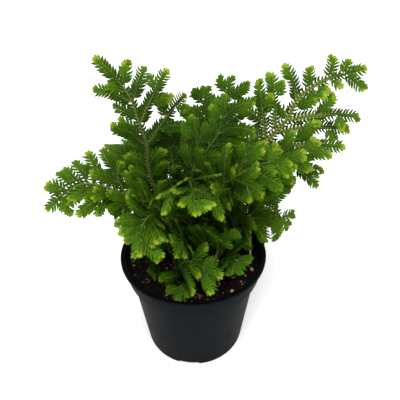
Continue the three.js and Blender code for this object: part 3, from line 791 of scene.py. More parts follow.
def grow_plant():
    """The ribs of all sprays with their side shoots, the stilt roots, and the room that they take."""
    room = Room()
    ribs = {name: grow_rib(**spray) for name, spray in SPRAYS.items()}
    for rib in ribs.values():
        room.take(rib.spots())
    stilts = {}
    for name, stilt in STILTS.items():
        stilts[name] = grow_stilt(ribs[stilt["spray"]], stilt["share"], stilt["foot"])
        room.take([spot for spot in stilts[name].spots() if spot["step"] < STILT_STEPS])
    for name, rib in ribs.items():
        shoots = [grow_towards(room, rib, tip) for tip in SPRAYS[name]["tips"]]
        for shoot in filter(None, shoots):
            grow_forks(room, shoot)
    for name, rib in ribs.items():
        grow_fill(room, rib, SPRAYS[name]["fill"])
    room.ease = CLOSE
    for name, rib in ribs.items():
        if name in DENSE_SPRAYS:
            thicken(room, rib, apart=1, longest=DENSE_SPRAYS[name])
        elif name not in OPEN_SPRAYS:
            thicken(room, rib)
    return room, ribs, stilts


# ---- Meshes --------------------------------------------------------------------------------------
# The tone mark is a random tone on leaves and grains, and on the pot it marks the inside that gets painted
# shade.
MARKS = ("youth", "tone", "across", "along", "pale")


class Skin:
    """The points, faces and marks of one piece, gathered from many small parts."""

    def __init__(self):
        self.points = []
        self.faces = []
        self.finishes = []
        self.marks = {mark: [] for mark in MARKS}
        self.count = 0

    def add(self, points, faces, finish=0, **marks):
        """Faces are rows of point numbers, all rows of one array as long."""
        self.points.append(points)
        for rows in faces:
            self.faces.extend((rows + self.count).tolist())
            self.finishes.append(np.full(len(rows), finish, np.int32))
        for mark in MARKS:
            value = np.asarray(marks.get(mark, 0.0), float)
            self.marks[mark].append(np.broadcast_to(value, len(points)))
        self.count += len(points)

    def piece(self, name, finishes, crease_deg=40):
        """The finished object, in metres, riding on the body."""
        mesh = bpy.data.meshes.new(name)
        mesh.from_pydata((np.concatenate(self.points) * MM).tolist(), [], self.faces)
        for finish in finishes:
            mesh.materials.append(finish)
        mesh.polygons.foreach_set("material_index", np.concatenate(self.finishes))
        for mark, parts in self.marks.items():
            attribute = mesh.attributes.new(mark, "FLOAT", "POINT")
            attribute.data.foreach_set("value", np.concatenate(parts).astype(np.float32))
        mesh.shade_smooth()
        mesh.set_sharp_from_angle(angle=math.radians(crease_deg))
        piece = bpy.data.objects.new(name, mesh)
        bpy.context.scene.collection.objects.link(piece)
        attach(piece, "root")
        return piece


def ring_walls(rings, sides):
    """The faces between rings of points in a row, with so many points in each."""
    j, k = np.meshgrid(np.arange(rings - 1), np.arange(sides), indexing="ij")
    a, b = j * sides + k, j * sides + (k + 1) % sides
    return np.stack([a, b, b + sides, a + sides], -1).reshape(-1, 4)


def ring_cap(first, sides, point):
    """The triangles from a ring, given by its first point, to a single point."""
    k = np.arange(sides)
    return np.stack([first + k, first + (k + 1) % sides, np.full(sides, point)], 1)


def unit_rows(rows):
    """Each row at a length of 1."""
    return rows / np.linalg.norm(rows, axis=-1, keepdims=True)


def smooth_rise(x, low, high):
    """0 below low, 1 above high, and a smooth rise in between."""
    t = np.clip((x - low) / (high - low), 0, 1)
    return t * t * (3 - 2 * t)


class Strand:
    """A stem or rib as a smooth line, measured in millimetres along it."""

    PARTS = 8

    def __init__(self, points, ups):
        points = np.array(points, float)
        ends = np.vstack([2 * points[0] - points[1], points, 2 * points[-1] - points[-2]])
        place = np.linspace(0, len(points) - 1, (len(points) - 1) * self.PARTS + 1)
        i = np.minimum(place.astype(int), len(points) - 2)
        w = (place - i)[:, None]
        a, b, c, d = (ends[i + k] for k in range(4))
        t0, t1 = 0.5 * (c - a), 0.5 * (d - b)
        self.line = b + t0 * w + (3 * (c - b) - 2 * t0 - t1) * w**2 + (2 * (b - c) + t0 + t1) * w**3
        steps = np.linalg.norm(np.diff(self.line, axis=0), axis=1)
        self.arcs = np.concatenate([[0], np.cumsum(steps)])
        self.heading = np.gradient(self.line, self.arcs, axis=0)
        ups = np.array(ups, float)
        self.up = np.stack([np.interp(place, range(len(points)), ups[:, k]) for k in range(3)], 1)
        self.length = self.arcs[-1]

    def arc_of(self, step):
        return self.arcs[round(step * self.PARTS)]

    def frames(self, arcs):
        """Points, headings, ways up and right-hand sides at some places along the strand."""
        p, h, n = (self._at(arcs, rows) for rows in (self.line, self.heading, self.up))
        h = unit_rows(h)
        n = unit_rows(n - (n * h).sum(1, keepdims=True) * h)
        return p, h, n, np.cross(h, n)

    def _at(self, arcs, rows):
        return np.stack([np.interp(arcs, self.arcs, rows[:, k]) for k in range(3)], 1)


def add_tube(skin, strand, arcs, radii, sides, finish, ripple=0.0, **marks):
    """A round stem through some places along a strand, closed by a point at both ends."""
    p, h, n, s = strand.frames(arcs)
    turn = np.arange(sides) * 2 * math.pi / sides
    wave = 1 + ripple * np.sin(2 * turn[None, :] + arcs[:, None])
    ring = np.cos(turn)[None, :, None] * s[:, None] + np.sin(turn)[None, :, None] * n[:, None]
    rings = p[:, None] + ring * (radii[:, None] * wave)[..., None]
    foot = p[0] - h[0] * radii[0] * TUBE_ENDS[0]
    tip = p[-1] + h[-1] * radii[-1] * TUBE_ENDS[1]
    points = np.concatenate([rings.reshape(-1, 3), [foot, tip]])
    count = len(arcs) * sides
    walls = ring_walls(len(arcs), sides)[:, [1, 0, 3, 2]]
    start = ring_cap(0, sides, count)
    end = ring_cap(count - sides, sides, count + 1)[:, [1, 0, 2]]
    spread = {mark: np.append(np.repeat(v, sides), [v[0], v[-1]]) for mark, v in marks.items()}
    skin.add(points, [walls, start, end], finish, **spread)


# ---- Leaves --------------------------------------------------------------------------------------
class LeafForm:
    """A leaf's outline, from its foot at 0 to its point at 1, and its section across."""

    def __init__(self, places, widths, section, thickness):
        self.places = np.array(places)
        self.widths = np.array(widths)
        self.section = np.array(section)
        self.thickness = thickness
        rings, sides = len(places), len(section)
        walls = ring_walls(rings, sides)
        point = ring_cap((rings - 1) * sides, sides, rings * sides)
        back = list(range(sides))[::-1]
        foot = np.array([[back[0], back[i], back[i + 1]] for i in range(1, sides - 1)])
        self.faces = (walls, point, foot)

    def grow(self, skin, leaves):
        """Adds all the leaves, given as a dictionary of arrays with one row for each leaf."""
        t = self.places[None, :]
        start, bend = leaves["start"][:, None], leaves["bend"][:, None]
        out, ahead = self._arc(t, start, bend)
        out_end, ahead_end = self._arc(np.ones((1, 1)), start, bend)
        length = leaves["length"][:, None]
        lift, droop = leaves["lift"][:, None], leaves["droop"][:, None]
        axes = leaves["side"], leaves["heading"], leaves["up"]
        line = self._place(axes, out * length, ahead * length, lift * t - droop * t**2)
        line = line + leaves["foot"][:, None]
        tip = self._place(axes, out_end * length, ahead_end * length, lift - droop)
        tip = tip + leaves["foot"][:, None]
        angle = start + bend * t
        slope = (lift - 2 * droop * t) / length
        along = unit_rows(self._place(axes, np.sin(angle), np.cos(angle), slope))
        up = leaves["up"][:, None]
        up = unit_rows(up - (up * along).sum(-1, keepdims=True) * along)
        across = np.cross(along, up)
        tilt = (leaves["tilt"] * leaves["hand"])[:, None, None]
        across, up = (
            across * np.cos(tilt) + up * np.sin(tilt),
            up * np.cos(tilt) - across * np.sin(tilt),
        )
        half = leaves["half_width"][:, None] * self.widths[None, :]
        x, z = self.section[:, 0], self.section[:, 1]
        rise = z[None, None] * self.thickness - leaves["cup"][:, None, None] * x[None, None] ** 2
        shape = line[:, :, None] + (half[..., None] * x)[..., None] * across[:, :, None]
        shape = shape + rise[..., None] * up[:, :, None]
        self._add(skin, leaves, shape, tip)

    @staticmethod
    def _arc(t, start, bend):
        """How far a leaf that starts at an angle to its rib and bends evenly has come out and ahead."""
        end = start + bend * t
        return (np.cos(start) - np.cos(end)) / bend, (np.sin(end) - np.sin(start)) / bend

    @staticmethod
    def _place(axes, out, ahead, rise):
        side, heading, up = (axis[:, None] for axis in axes)
        return out[..., None] * side + ahead[..., None] * heading + rise[..., None] * up

    def _add(self, skin, leaves, shape, tip):
        count, rings, sides, _ = shape.shape
        size = rings * sides + 1
        points = np.concatenate([shape.reshape(count, -1, 3), tip], 1).reshape(-1, 3)
        shift = (np.arange(count) * size)[:, None, None]
        faces = [(rows[None] + shift).reshape(-1, rows.shape[1]) for rows in self.faces]
        across = np.append(np.tile(self.section[:, 0], rings), 0)
        along = np.append(np.repeat(self.places, sides), 1)
        skin.add(
            points,
            faces,
            youth=np.repeat(leaves["youth"], size),
            tone=np.repeat(leaves["tone"], size),
            across=np.tile(across, count) * -np.repeat(leaves["hand"], size),
            along=np.tile(along, count),
            pale=np.repeat(leaves["pale"], size),
        )


SIDE_LEAF = LeafForm(
    places=(0, 0.24, 0.54, 0.82),
    widths=(0.7, 1, 0.9, 0.48),
    section=((-1, 0), (-0.5, 1), (0, 0.3), (0.5, 1), (1, 0)),
    thickness=0.14,
)
TOP_LEAF = LeafForm(
    places=(0, 0.32, 0.7),
    widths=(0.62, 1, 0.7),
    section=((-1, 0), (0, 1), (1, 0)),
    thickness=0.3,
)


def leaf_measure(name, behind, ageing=1.0):
    """A measure of the side leaves at a distance behind the shoot's tip."""
    grown = mix(BUD[name], GROWN[name], smooth_rise(behind, 0, GROWN_BEHIND))
    return mix(grown, OLD[name], smooth_rise(behind * ageing, *OLD_BEHIND))


def stem_radius(behind):
    """A stem's radius at a distance behind its tip."""
    return mix(STEM_TIP_RADIUS, STEM_FOOT_RADIUS, 1 - np.exp(-np.asarray(behind) / STEM_TAPER))


def leaf_places(length, start, ageing=1.0):
    """The places of the leaves along a strand, from its tip back to where its leaves start."""
    places = []
    behind = FIRST_LEAF
    while length - behind > start:
        places.append(length - behind)
        behind += float(leaf_measure("pitch", behind, ageing))
    return np.array(places)


def strand_of(shoot):
    """A shoot as a strand, which starts in its rib's middle, and how many steps that adds."""
    points = [pose[0] for pose in shoot.poses]
    ups = [pose[2] for pose in shoot.poses]
    if shoot.rib is None:
        return Strand(points, ups), 0
    joint = shoot.rib.poses[shoot.at]
    return Strand([joint[0], *points], [joint[2], *ups]), 1


# ---- Fronds --------------------------------------------------------------------------------------
class Foliage:
    """Gathers the side leaves and the small top leaves of one frond, and grows them all at once."""

    def __init__(self, room, seed, measures):
        self.room = room
        self.random = np.random.default_rng(seed)
        self.measures = measures
        self.sides = []
        self.tops = []

    def leaf_out(self, strand, places, gaps, shoot=None, size=1.0):
        """The leaves at some places along a strand. gaps gives each hand's leaf sizes at those places."""
        vigour = self.measures["vigour"] * self.random.uniform(*SHOOT_VIGOUR)
        pitch = leaf_measure("pitch", strand.length - places, self.measures["ageing"])
        for hand in (-1, 1):
            arcs = np.clip(places + ALTERNATION * hand * pitch, 0, strand.length)
            sizes = size * gaps(hand, arcs)
            keep = sizes > 0
            if not keep.any():
                continue
            arcs, sizes = arcs[keep], sizes[keep]
            frames = strand.frames(arcs)
            if shoot:
                sizes = sizes * self._clear(frames, hand, sizes, shoot)
            behind = strand.length - arcs
            youth = vigour * np.exp(-behind / YOUTH_FADE)
            self._add_sides(behind, frames, hand, sizes, youth)
            self._add_tops(behind, frames, hand, np.maximum(sizes, TOP_LEAST * size), youth)

    def _clear(self, frames, hand, sizes, shoot):
        """How far each leaf has to shrink so that its tip is clear of other shoots."""
        shares = []
        for p, h, n, s, size in zip(*frames, sizes):
            for share in CLEARING:
                reach = LEAF_SPAN * size * share
                tip = p + s * hand * reach + h * reach - n * GAP
                if not self.room.is_crowded(tuple(tip), shoot):
                    break
            shares.append(share)
        return np.array(shares)

    def _vary(self, count, spreads):
        """What each of some leaves differs by in each of its measures."""
        return {name: self.random.uniform(-spread, spread, count) for name, spread in spreads.items()}

    def _gather(self, group, frames, hand, **leaves):
        """Adds leaves to a group: one number for all of them, or one for each."""
        _, h, n, s = frames
        leaves["hand"] = hand
        leaves["tone"] = self.random.uniform(0, 1, len(h))
        for name, value in leaves.items():
            if np.ndim(value) == 0:
                leaves[name] = np.full(len(h), float(value))
        group.append({**leaves, "heading": h, "up": n, "side": s * hand})

    def _add_sides(self, behind, frames, hand, sizes, youth):
        p, _, _, s = frames
        vary = self._vary(len(behind), SIDE_SPREAD)
        measure = {name: leaf_measure(name, behind, self.measures["ageing"]) for name in GROWN}
        start = np.radians(measure["start"] + vary["start"])
        end = np.radians(measure["end"] + vary["end"])
        self._gather(
            self.sides,
            frames,
            hand,
            foot=p + s * hand * (SIDE_FOOT * stem_radius(behind) * sizes)[:, None],
            start=start,
            bend=end - start,
            length=measure["length"] * sizes * (1 + vary["length"]) * self.measures["length"],
            half_width=measure["half_width"] * sizes**0.5 * self.measures["width"],
            tilt=np.radians(measure["tilt"] + vary["tilt"]),
            lift=measure["lift"] * sizes + vary["lift"],
            droop=measure["droop"] * sizes + vary["droop"],
            cup=measure["cup"],
            youth=youth,
            pale=0,
        )

    def _add_tops(self, behind, frames, hand, sizes, youth):
        p, _, n, s = frames
        vary = self._vary(len(behind), TOP_SPREAD)
        radius = stem_radius(behind)
        out, up = (share * radius + more for share, more in (TOP_FOOT_OUT, TOP_FOOT_UP))
        young = 1 - smooth_rise(behind, 0, GROWN_BEHIND)
        old = smooth_rise(behind, *OLD_BEHIND)
        measure = {name: mix(TOP_GROWN[name], TOP_OLD[name], old) for name in TOP_GROWN}
        start = np.radians(measure["start"] + vary["start"])
        self._gather(
            self.tops,
            frames,
            hand,
            foot=p + s * hand * out[:, None] + n * up[:, None],
            start=start,
            bend=np.radians(measure["end"]) - start,
            length=(measure["length"] - TOP_BUD_SHORTER * young) * sizes,
            half_width=(measure["half_width"] + TOP_WIDENING * radius) * sizes,
            tilt=np.radians(TOP_TILT + vary["tilt"]),
            lift=TOP_LIFT + vary["lift"],
            youth=youth,
            pale=mix(YOUNG_PALENESS, self.measures["paleness"], smooth_rise(behind, *PALE_BEHIND)),
            **TOP_SAME,
        )

    def scale_stem(self, strand, start, end):
        """The small leaves that are pressed to a bare stem, in four rows."""
        arcs = np.arange(start, end, SCALE_PITCH)
        for quarter in range(4):
            places = np.minimum(arcs + SCALE_PITCH / 4 * quarter, strand.length)
            p, h, n, s = strand.frames(places)
            for _ in range(quarter):
                n, s = s, -n
            vary = self._vary(len(places), SCALE_SPREAD)
            self._gather(
                self.tops,
                (p, h, n, s),
                1,
                foot=p + n * (SCALE_FOOT * stem_radius(strand.length - places))[:, None],
                length=SCALE_LENGTH + vary["length"],
                lift=SCALE_LIFT + vary["lift"],
                **SCALE_SAME,
            )

    def grow(self, skin):
        """Adds all the leaves that were gathered."""
        for form, groups in ((SIDE_LEAF, self.sides), (TOP_LEAF, self.tops)):
            if groups:
                form.grow(skin, {key: np.concatenate([g[key] for g in groups]) for key in groups[0]})


def fork_gaps(strand, shoot, extra):
    """Leaf sizes by hand and place along a shoot: smaller ones round its forks and in its own fork."""
    forks = [(other.sign, strand.arc_of(other.at + extra)) for other in shoot.shoots]

    def gaps(hand, arcs):
        sizes = np.ones(len(arcs))
        for sign, fork in forks:
            if sign == hand:
                ahead = arcs - fork
                sizes = np.where((ahead >= FORK_BARE[0]) & (ahead < FORK_BARE[1]), 0, sizes)
                near = (ahead >= FORK_BARE[1]) & (ahead < FORK_SMALL)
                sizes = np.where(near, np.minimum(sizes, SMALL), sizes)
        if shoot.sign == -hand:
            sizes = np.where(arcs < CROTCH_SMALL, np.minimum(sizes, SMALL), sizes)
            sizes = np.where(arcs < CROTCH_BARE, 0, sizes)
        return sizes

    return gaps


def whole_leaves(hand, arcs):
    """Leaf sizes where nothing is in their way."""
    return np.ones(len(arcs))


def add_stem(skin, strand, sides=STEM_SIDES):
    """The round stem of a shoot, in the second finish of its frond."""
    count = max(3, nearest(strand.length / STEM_RING)) + 1
    arcs = np.linspace(0, strand.length, count)
    behind = strand.length - arcs
    youth = np.exp(-behind / STEM_YOUTH_FADE)
    radii = stem_radius(behind)
    add_tube(skin, strand, arcs, radii, sides, finish=1, ripple=STEM_RIPPLE, youth=youth)


def add_lobes(skin, foliage, shoot, strand, extra):
    """The youngest branchlets, at a shoot's tip."""
    nearest_fork = strand.length - LOBE_CLEAR
    forked = {other.sign for other in shoot.shoots if strand.arc_of(other.at + extra) > nearest_fork}
    for hand, back, reach in LOBES:
        arc = strand.length - back
        if foliage.random.uniform() > LOBE_SHARE or hand in forked or arc < LOBE_START:
            continue
        p, h, n, s = (rows[0] for rows in strand.frames(np.array([arc])))
        angle = math.radians(LOBE_DEG + foliage.random.uniform(-LOBE_SPREAD_DEG, LOBE_SPREAD_DEG))
        way = h * math.cos(angle) + s * hand * math.sin(angle)
        tip = p + way * reach * LOBE_REACH[0] + h * reach * LOBE_REACH[1]
        if foliage.room.is_taken(tuple(tip), shoot):
            continue
        lobe = Strand([p, p + way * reach * 0.5, tip], [n, n, n])
        add_stem(skin, lobe, LOBE_SIDES)
        foliage.leaf_out(lobe, leaf_places(lobe.length, LOBE_BARE), whole_leaves, size=LOBE_LEAF)


def add_shoot(skin, foliage, shoot):
    """A shoot's stem and leaves, and those of its side shoots."""
    strand, extra = strand_of(shoot)
    add_stem(skin, strand)
    start = SHOOT_BARE if extra else strand.arc_of(shoot.bare) - LEAF_LEAD
    places = leaf_places(strand.length, start, foliage.measures["ageing"])
    foliage.leaf_out(strand, places, fork_gaps(strand, shoot, extra), shoot)
    if not extra:
        foliage.scale_stem(strand, SINK + SCALES_ABOVE, start)
    for other in shoot.shoots:
        add_shoot(skin, foliage, other)
    add_lobes(skin, foliage, shoot, strand, extra)


# ---- Pot -----------------------------------------------------------------------------------------
def inner_radius(z):
    """The radius of the pot's inner wall at a height."""
    if z < LEDGE:
        return mix(FOOT_RADIUS, BODY_TOP_RADIUS, z / LEDGE) - WALL
    t = (z - LEDGE) / (POT_HEIGHT - LIP_HEIGHT - LEDGE)
    return mix(COLLAR_FOOT_RADIUS, COLLAR_TOP_RADIUS, min(t, 1)) - WALL


def round_corner(a, corner, b, radius, steps=4):
    """Points that round a corner off between its two neighbours, in a profile of radius and height."""
    a, corner, b = (np.array(p, float) for p in (a, corner, b))
    start = corner + (a - corner) * min(0.49, radius / np.linalg.norm(a - corner))
    end = corner + (b - corner) * min(0.49, radius / np.linalg.norm(b - corner))
    rounded = []
    for t in np.linspace(0, 1, steps):
        rounded.append(tuple((1 - t) ** 2 * start + 2 * t * (1 - t) * corner + t**2 * end))
    return rounded


def pot_profile():
    """The pot's section from the middle of its foot, up outside, over the lip and down inside."""
    lip_foot = POT_HEIGHT - LIP_HEIGHT
    corners = [
        (0, 0, 0),
        (PAD_RADIUS, 0, 0.4),
        (PAD_RADIUS + 1, FLOOR_LIFT, 0.4),
        (FOOT_RADIUS - FOOT_WIDTH - 1, FLOOR_LIFT, 0.5),
        (FOOT_RADIUS - FOOT_WIDTH, 0, 0.5),
        (FOOT_RADIUS, 0, FOOT_ROUND),
        (mix(FOOT_RADIUS, BODY_TOP_RADIUS, NOTCH_BAND / LEDGE), NOTCH_BAND, 0.3),
        (BODY_TOP_RADIUS, LEDGE, 0.8),
        (COLLAR_FOOT_RADIUS, LEDGE + 1, 0.7),
        (COLLAR_TOP_RADIUS, lip_foot, 0.5),
        (RIM_RADIUS, lip_foot + 0.3, 0.5),
        (RIM_RADIUS, POT_HEIGHT, 1.1),
        (COLLAR_TOP_RADIUS - WALL, POT_HEIGHT - 0.5, 0.9),
        (inner_radius(LEDGE + 2), LEDGE + 2, 0.8),
        (inner_radius(LEDGE - 0.01), LEDGE, 0.8),
        (inner_radius(FLOOR_TOP), FLOOR_TOP, 2),
        (0, FLOOR_TOP, 0),
    ]
    points = [corners[0][:2]]
    for before, here, after in zip(corners, corners[1:], corners[2:]):
        points += round_corner(before[:2], here[:2], after[:2], here[2])
    return [*points, corners[-1][:2]]


def turned_form(profile, columns):
    """Points and faces of a profile turned round the upright axis. Its two ends lie on the axis."""
    turn = np.arange(columns) * 2 * math.pi / columns
    rings = np.array(profile[1:-1])
    x, y = rings[:, :1] * np.cos(turn), rings[:, :1] * np.sin(turn)
    z = np.broadcast_to(rings[:, 1:], x.shape)
    points = np.stack([x, y, z], -1).reshape(-1, 3)
    count = len(points)
    points = np.vstack([points, [0, 0, profile[0][1]], [0, 0, profile[-1][1]]])
    low = ring_cap(0, columns, count)[:, [1, 0, 2]]
    high = ring_cap(count - columns, columns, count + 1)
    return points, [ring_walls(len(rings), columns), low, high]


def notch_foot(points):
    """Lifts the foot's ring where it is notched, so that water can run out."""
    far = np.hypot(points[:, 0], points[:, 1])
    low = (points[:, 2] < NOTCH["height"]) & (far > FOOT_RADIUS - FOOT_WIDTH - 1)
    turn = np.arctan2(points[:, 1], points[:, 0])
    for i in range(NOTCH["count"]):
        middle = math.radians(-90 + NOTCH["turn_deg"] + i * 360 / NOTCH["count"])
        off = np.abs((turn - middle + math.pi) % (2 * math.pi) - math.pi) * FOOT_RADIUS
        points[low & (off < NOTCH["width"] / 2), 2] = NOTCH["height"]
    return points


def inner_side(points):
    """1 for the points of the wall's inside, from the lip's edge on, which the plastic darkens with painted
    shade, and 0 for those outside.
    """
    far = np.hypot(points[:, 0], points[:, 1])
    edge = np.flatnonzero(far > RIM_RADIUS - LIP_EDGE)[-1]
    return (np.arange(len(points)) > edge).astype(float)


def bore_drains(pot):
    """Cuts the drain holes through the pot's floor."""
    cutter = Skin()
    for i in range(DRAIN["count"]):
        turn = (i + 0.5) * 2 * math.pi / DRAIN["count"]
        radius = DRAIN["radius"]
        profile = [(0, -1), (radius, -1), (radius, FLOOR_TOP + 2), (0, FLOOR_TOP + 2)]
        points, faces = turned_form(profile, DRAIN["columns"])
        points = points + [DRAIN["ring"] * math.cos(turn), DRAIN["ring"] * math.sin(turn), 0]
        cutter.add(points, faces)
    tool = cutter.piece("drain_cutter", [])
    bore = pot.modifiers.new("drains", "BOOLEAN")
    bore.operation = "DIFFERENCE"
    bore.solver = "EXACT"
    bore.object = tool
    graph = bpy.context.evaluated_depsgraph_get()
    bored = bpy.data.meshes.new_from_object(pot.evaluated_get(graph))
    pot.modifiers.clear()
    pot.data = bored
    bpy.data.objects.remove(tool)


# ---- Peat ----------------------------------------------------------------------------------------
def soil_height(x, y):
    """The peat's height at a point: level at the wall, lumpy and a little mounded round the stems."""
    r = math.hypot(x, y) / COLLAR_TOP_RADIUS
    mound = 3 * max(0, 1 - r * r)
    lumps = math.sin(0.21 * x + 1) * math.cos(0.19 * y) + 0.6 * math.sin(0.47 * x - 0.38 * y)
    return SOIL_TOP - 2 + mound + 0.8 * lumps


def peat_height(x, y):
    """The same height with the peat's own crumb, and banked up at the wall."""
    fine = noise.noise(Vector((0.35 * x, 0.35 * y, 3))) + 0.6 * noise.noise(Vector((0.9 * x, 0.9 * y, 7)))
    bank = PEAT_BANK * smooth_rise(math.hypot(x, y) / COLLAR_TOP_RADIUS, *BANK_FROM)
    return soil_height(x, y) - 0.6 + 1.1 * fine + bank


def peat_radius(z):
    """The peat's radius at a height, a gap away from the wall."""
    return inner_radius(z) - GAP


def peat_form():
    """Points and faces of the peat in the pot. Its top is one ring inside the other."""
    sides = [
        (peat_radius(FLOOR_TOP) - 3, FLOOR_TOP + GAP),
        (peat_radius(FLOOR_TOP + 2), FLOOR_TOP + 2 + GAP),
        (peat_radius(LEDGE - 1), LEDGE),
        (peat_radius(LEDGE + 2), LEDGE + 2 + 2 * GAP),
    ]
    edge = peat_radius(SOIL_TOP - 4)
    top = [(edge * (1 - i / SOIL_RINGS), SOIL_TOP) for i in range(SOIL_RINGS)]
    points, faces = turned_form([(0, FLOOR_TOP + GAP), *sides, *top, (0, SOIL_TOP)], SOIL_COLUMNS)
    start = len(sides) * SOIL_COLUMNS
    for i in [*range(start, len(points) - 2), len(points) - 1]:
        points[i, 2] = peat_height(*points[i, :2])
    return points, faces


def ball_form(detail):
    """Points and triangles of a small ball."""
    mesh = bpy.data.meshes.new("ball")
    form = bmesh.new()
    bmesh.ops.create_icosphere(form, subdivisions=detail, radius=1)
    form.to_mesh(mesh)
    form.free()
    points = np.array([v.co for v in mesh.vertices])
    faces = np.array([list(face.vertices) for face in mesh.polygons])
    bpy.data.meshes.remove(mesh)
    return points, faces


def grain_turn(random):
    """A grain's turn: any way round, and leaning a little."""
    upright = Matrix.Rotation(random.uniform(0, 2 * math.pi), 3, "Z")
    lean = random.uniform(-GRAIN_LEAN, GRAIN_LEAN, 2)
    return np.array(upright @ Matrix.Rotation(lean[0], 3, "X") @ Matrix.Rotation(lean[1], 3, "Y"))


def scatter(skin, random, count, size, shape, detail, rough=0.25):
    """Grains strewn over the peat, from the least size to the most. Their shape is a share of it a side."""
    points, faces = ball_form(detail)
    for _ in range(count):
        far = STREWN_RADIUS * math.sqrt(random.uniform(0, 1))
        turn = random.uniform(0, 2 * math.pi)
        x, y = far * math.cos(turn), far * math.sin(turn)
        half = 0.5 * mix(size[0], size[1], random.uniform(0, 1) ** 2)
        grain = points * (1 + random.uniform(-rough, rough, (len(points), 1)))
        grain = grain * np.array(shape) * half
        grain = grain @ grain_turn(random).T
        z = peat_height(x, y) + half * shape[2] * (1 - 2 * GRAIN_SUNK)
        skin.add(grain + [x, y, z], [faces], tone=random.uniform(0, 1))


# ---- Finishes ------------------------------------------------------------------------------------
def srgb(red, green, blue):
    """A colour of 0 to 255 a channel as the renderer's own numbers."""
    values = []
    for value in (red, green, blue):
        v = value / 255
        values.append(v / 12.92 if v <= 0.04045 else ((v + 0.055) / 1.055) ** 2.4)
    return (*values, 1.0)


class Wire:
    """A socket that gives a number, with sums and products that add their own Math nodes."""

    def __init__(self, finish, socket):
        self.finish = finish
        self.socket = socket

    def _math(self, operation, a, b):
        return self.finish.node("ShaderNodeMath", {"operation": operation}, {0: a, 1: b})

    def __add__(self, other):
        return self._math("ADD", self, other)

    def __sub__(self, other):
        return self._math("SUBTRACT", self, other)

    def __mul__(self, other):
        return self._math("MULTIPLY", self, other)

    def __radd__(self, other):
        return self._math("ADD", other, self)

    def __rsub__(self, other):
        return self._math("SUBTRACT", other, self)

    def __rmul__(self, other):
        return self._math("MULTIPLY", other, self)

    def __neg__(self):
        return self._math("SUBTRACT", 0, self)

    def __abs__(self):
        return self._math("ABSOLUTE", self, 0)


class Finish:
    """A material in the making."""

    def __init__(self, name):
        self.material = bpy.data.materials.new(name)
        self.material.use_nodes = True
        self.tree = self.material.node_tree
        self.tree.nodes.clear()

    def node(self, kind, settings=None, sockets=None, out=0):
        """A node of a kind. Its settings come first, then the values and wires of its sockets."""
        node = self.tree.nodes.new(kind)
        for name, value in (settings or {}).items():
            if name == "stops":
                self._set_stops(node.color_ramp, value)
            else:
                setattr(node, name, value)
        for name, value in (sockets or {}).items():
            if isinstance(value, Wire):
                self.tree.links.new(value.socket, node.inputs[name])
            else:
                node.inputs[name].default_value = value
        return Wire(self, node.outputs[out]) if len(node.outputs) else None

    @staticmethod
    def _set_stops(ramp, stops):
        while len(ramp.elements) < len(stops):
            ramp.elements.new(1)
        for element, (place, colour) in zip(ramp.elements, stops):
            element.position = place
            element.color = colour

    def mark(self, name):
        return self.node("ShaderNodeAttribute", {"attribute_name": name}, out="Fac")

    def place(self):
        return self.node("ShaderNodeTexCoord", out="Object")

    def noise(self, scale, detail=3, stretch=None, roughness=0.5):
        place = self.place()
        if stretch:
            place = self.node("ShaderNodeMapping", None, {"Vector": place, "Scale": stretch})
        sockets = {"Vector": place, "Scale": scale, "Detail": detail, "Roughness": roughness}
        return self.node("ShaderNodeTexNoise", None, sockets)

    def ramp(self, value, low, high, kind="SMOOTHSTEP"):
        """0 below low, 1 above high."""
        settings = {"interpolation_type": kind}
        return self.node("ShaderNodeMapRange", settings, {"Value": value, "From Min": low, "From Max": high})

    def blend(self, a, b, factor, mode="MIX"):
        """Two colours mixed."""
        settings = {"data_type": "RGBA", "blend_type": mode, "clamp_factor": True}
        return self.node("ShaderNodeMix", settings, {0: factor, 6: a, 7: b}, out=2)

    def bump(self, height, distance, strength=1.0):
        sockets = {"Height": height, "Distance": distance, "Strength": strength}
        return self.node("ShaderNodeBump", None, sockets)

    def close(self, sockets):
        """The finished material, from the sockets of its shader."""
        shader = self.node("ShaderNodeBsdfPrincipled", None, sockets)
        self.node("ShaderNodeOutputMaterial", None, {"Surface": shader})
        return self.material


def painted_shade_depth(finish):
    """How much painted shade a place gets for lying deep inside the plant, from 0 outside to 1 low down
    between the stems.
    """
    place = finish.place()
    height = finish.node("ShaderNodeSeparateXYZ", None, {"Vector": place}, out="Z")
    level = finish.node("ShaderNodeVectorMath", {"operation": "MULTIPLY"}, {0: place, 1: (1, 1, 0)})
    far = finish.node("ShaderNodeVectorMath", {"operation": "LENGTH"}, {0: level}, out="Value")
    low = 1 - finish.ramp(height, *PAINTED_SHADE_HEIGHTS)
    between_stems = low * (1 - finish.ramp(far, *PAINTED_SHADE_RADII))
    away = finish.node("ShaderNodeVectorMath", {"operation": "DISTANCE"}, {0: place, 1: HEART}, out="Value")
    near_heart = 1 - finish.ramp(away, *HEART_RADII)
    return between_stems + (1 - between_stems) * near_heart * HEART_SHARE


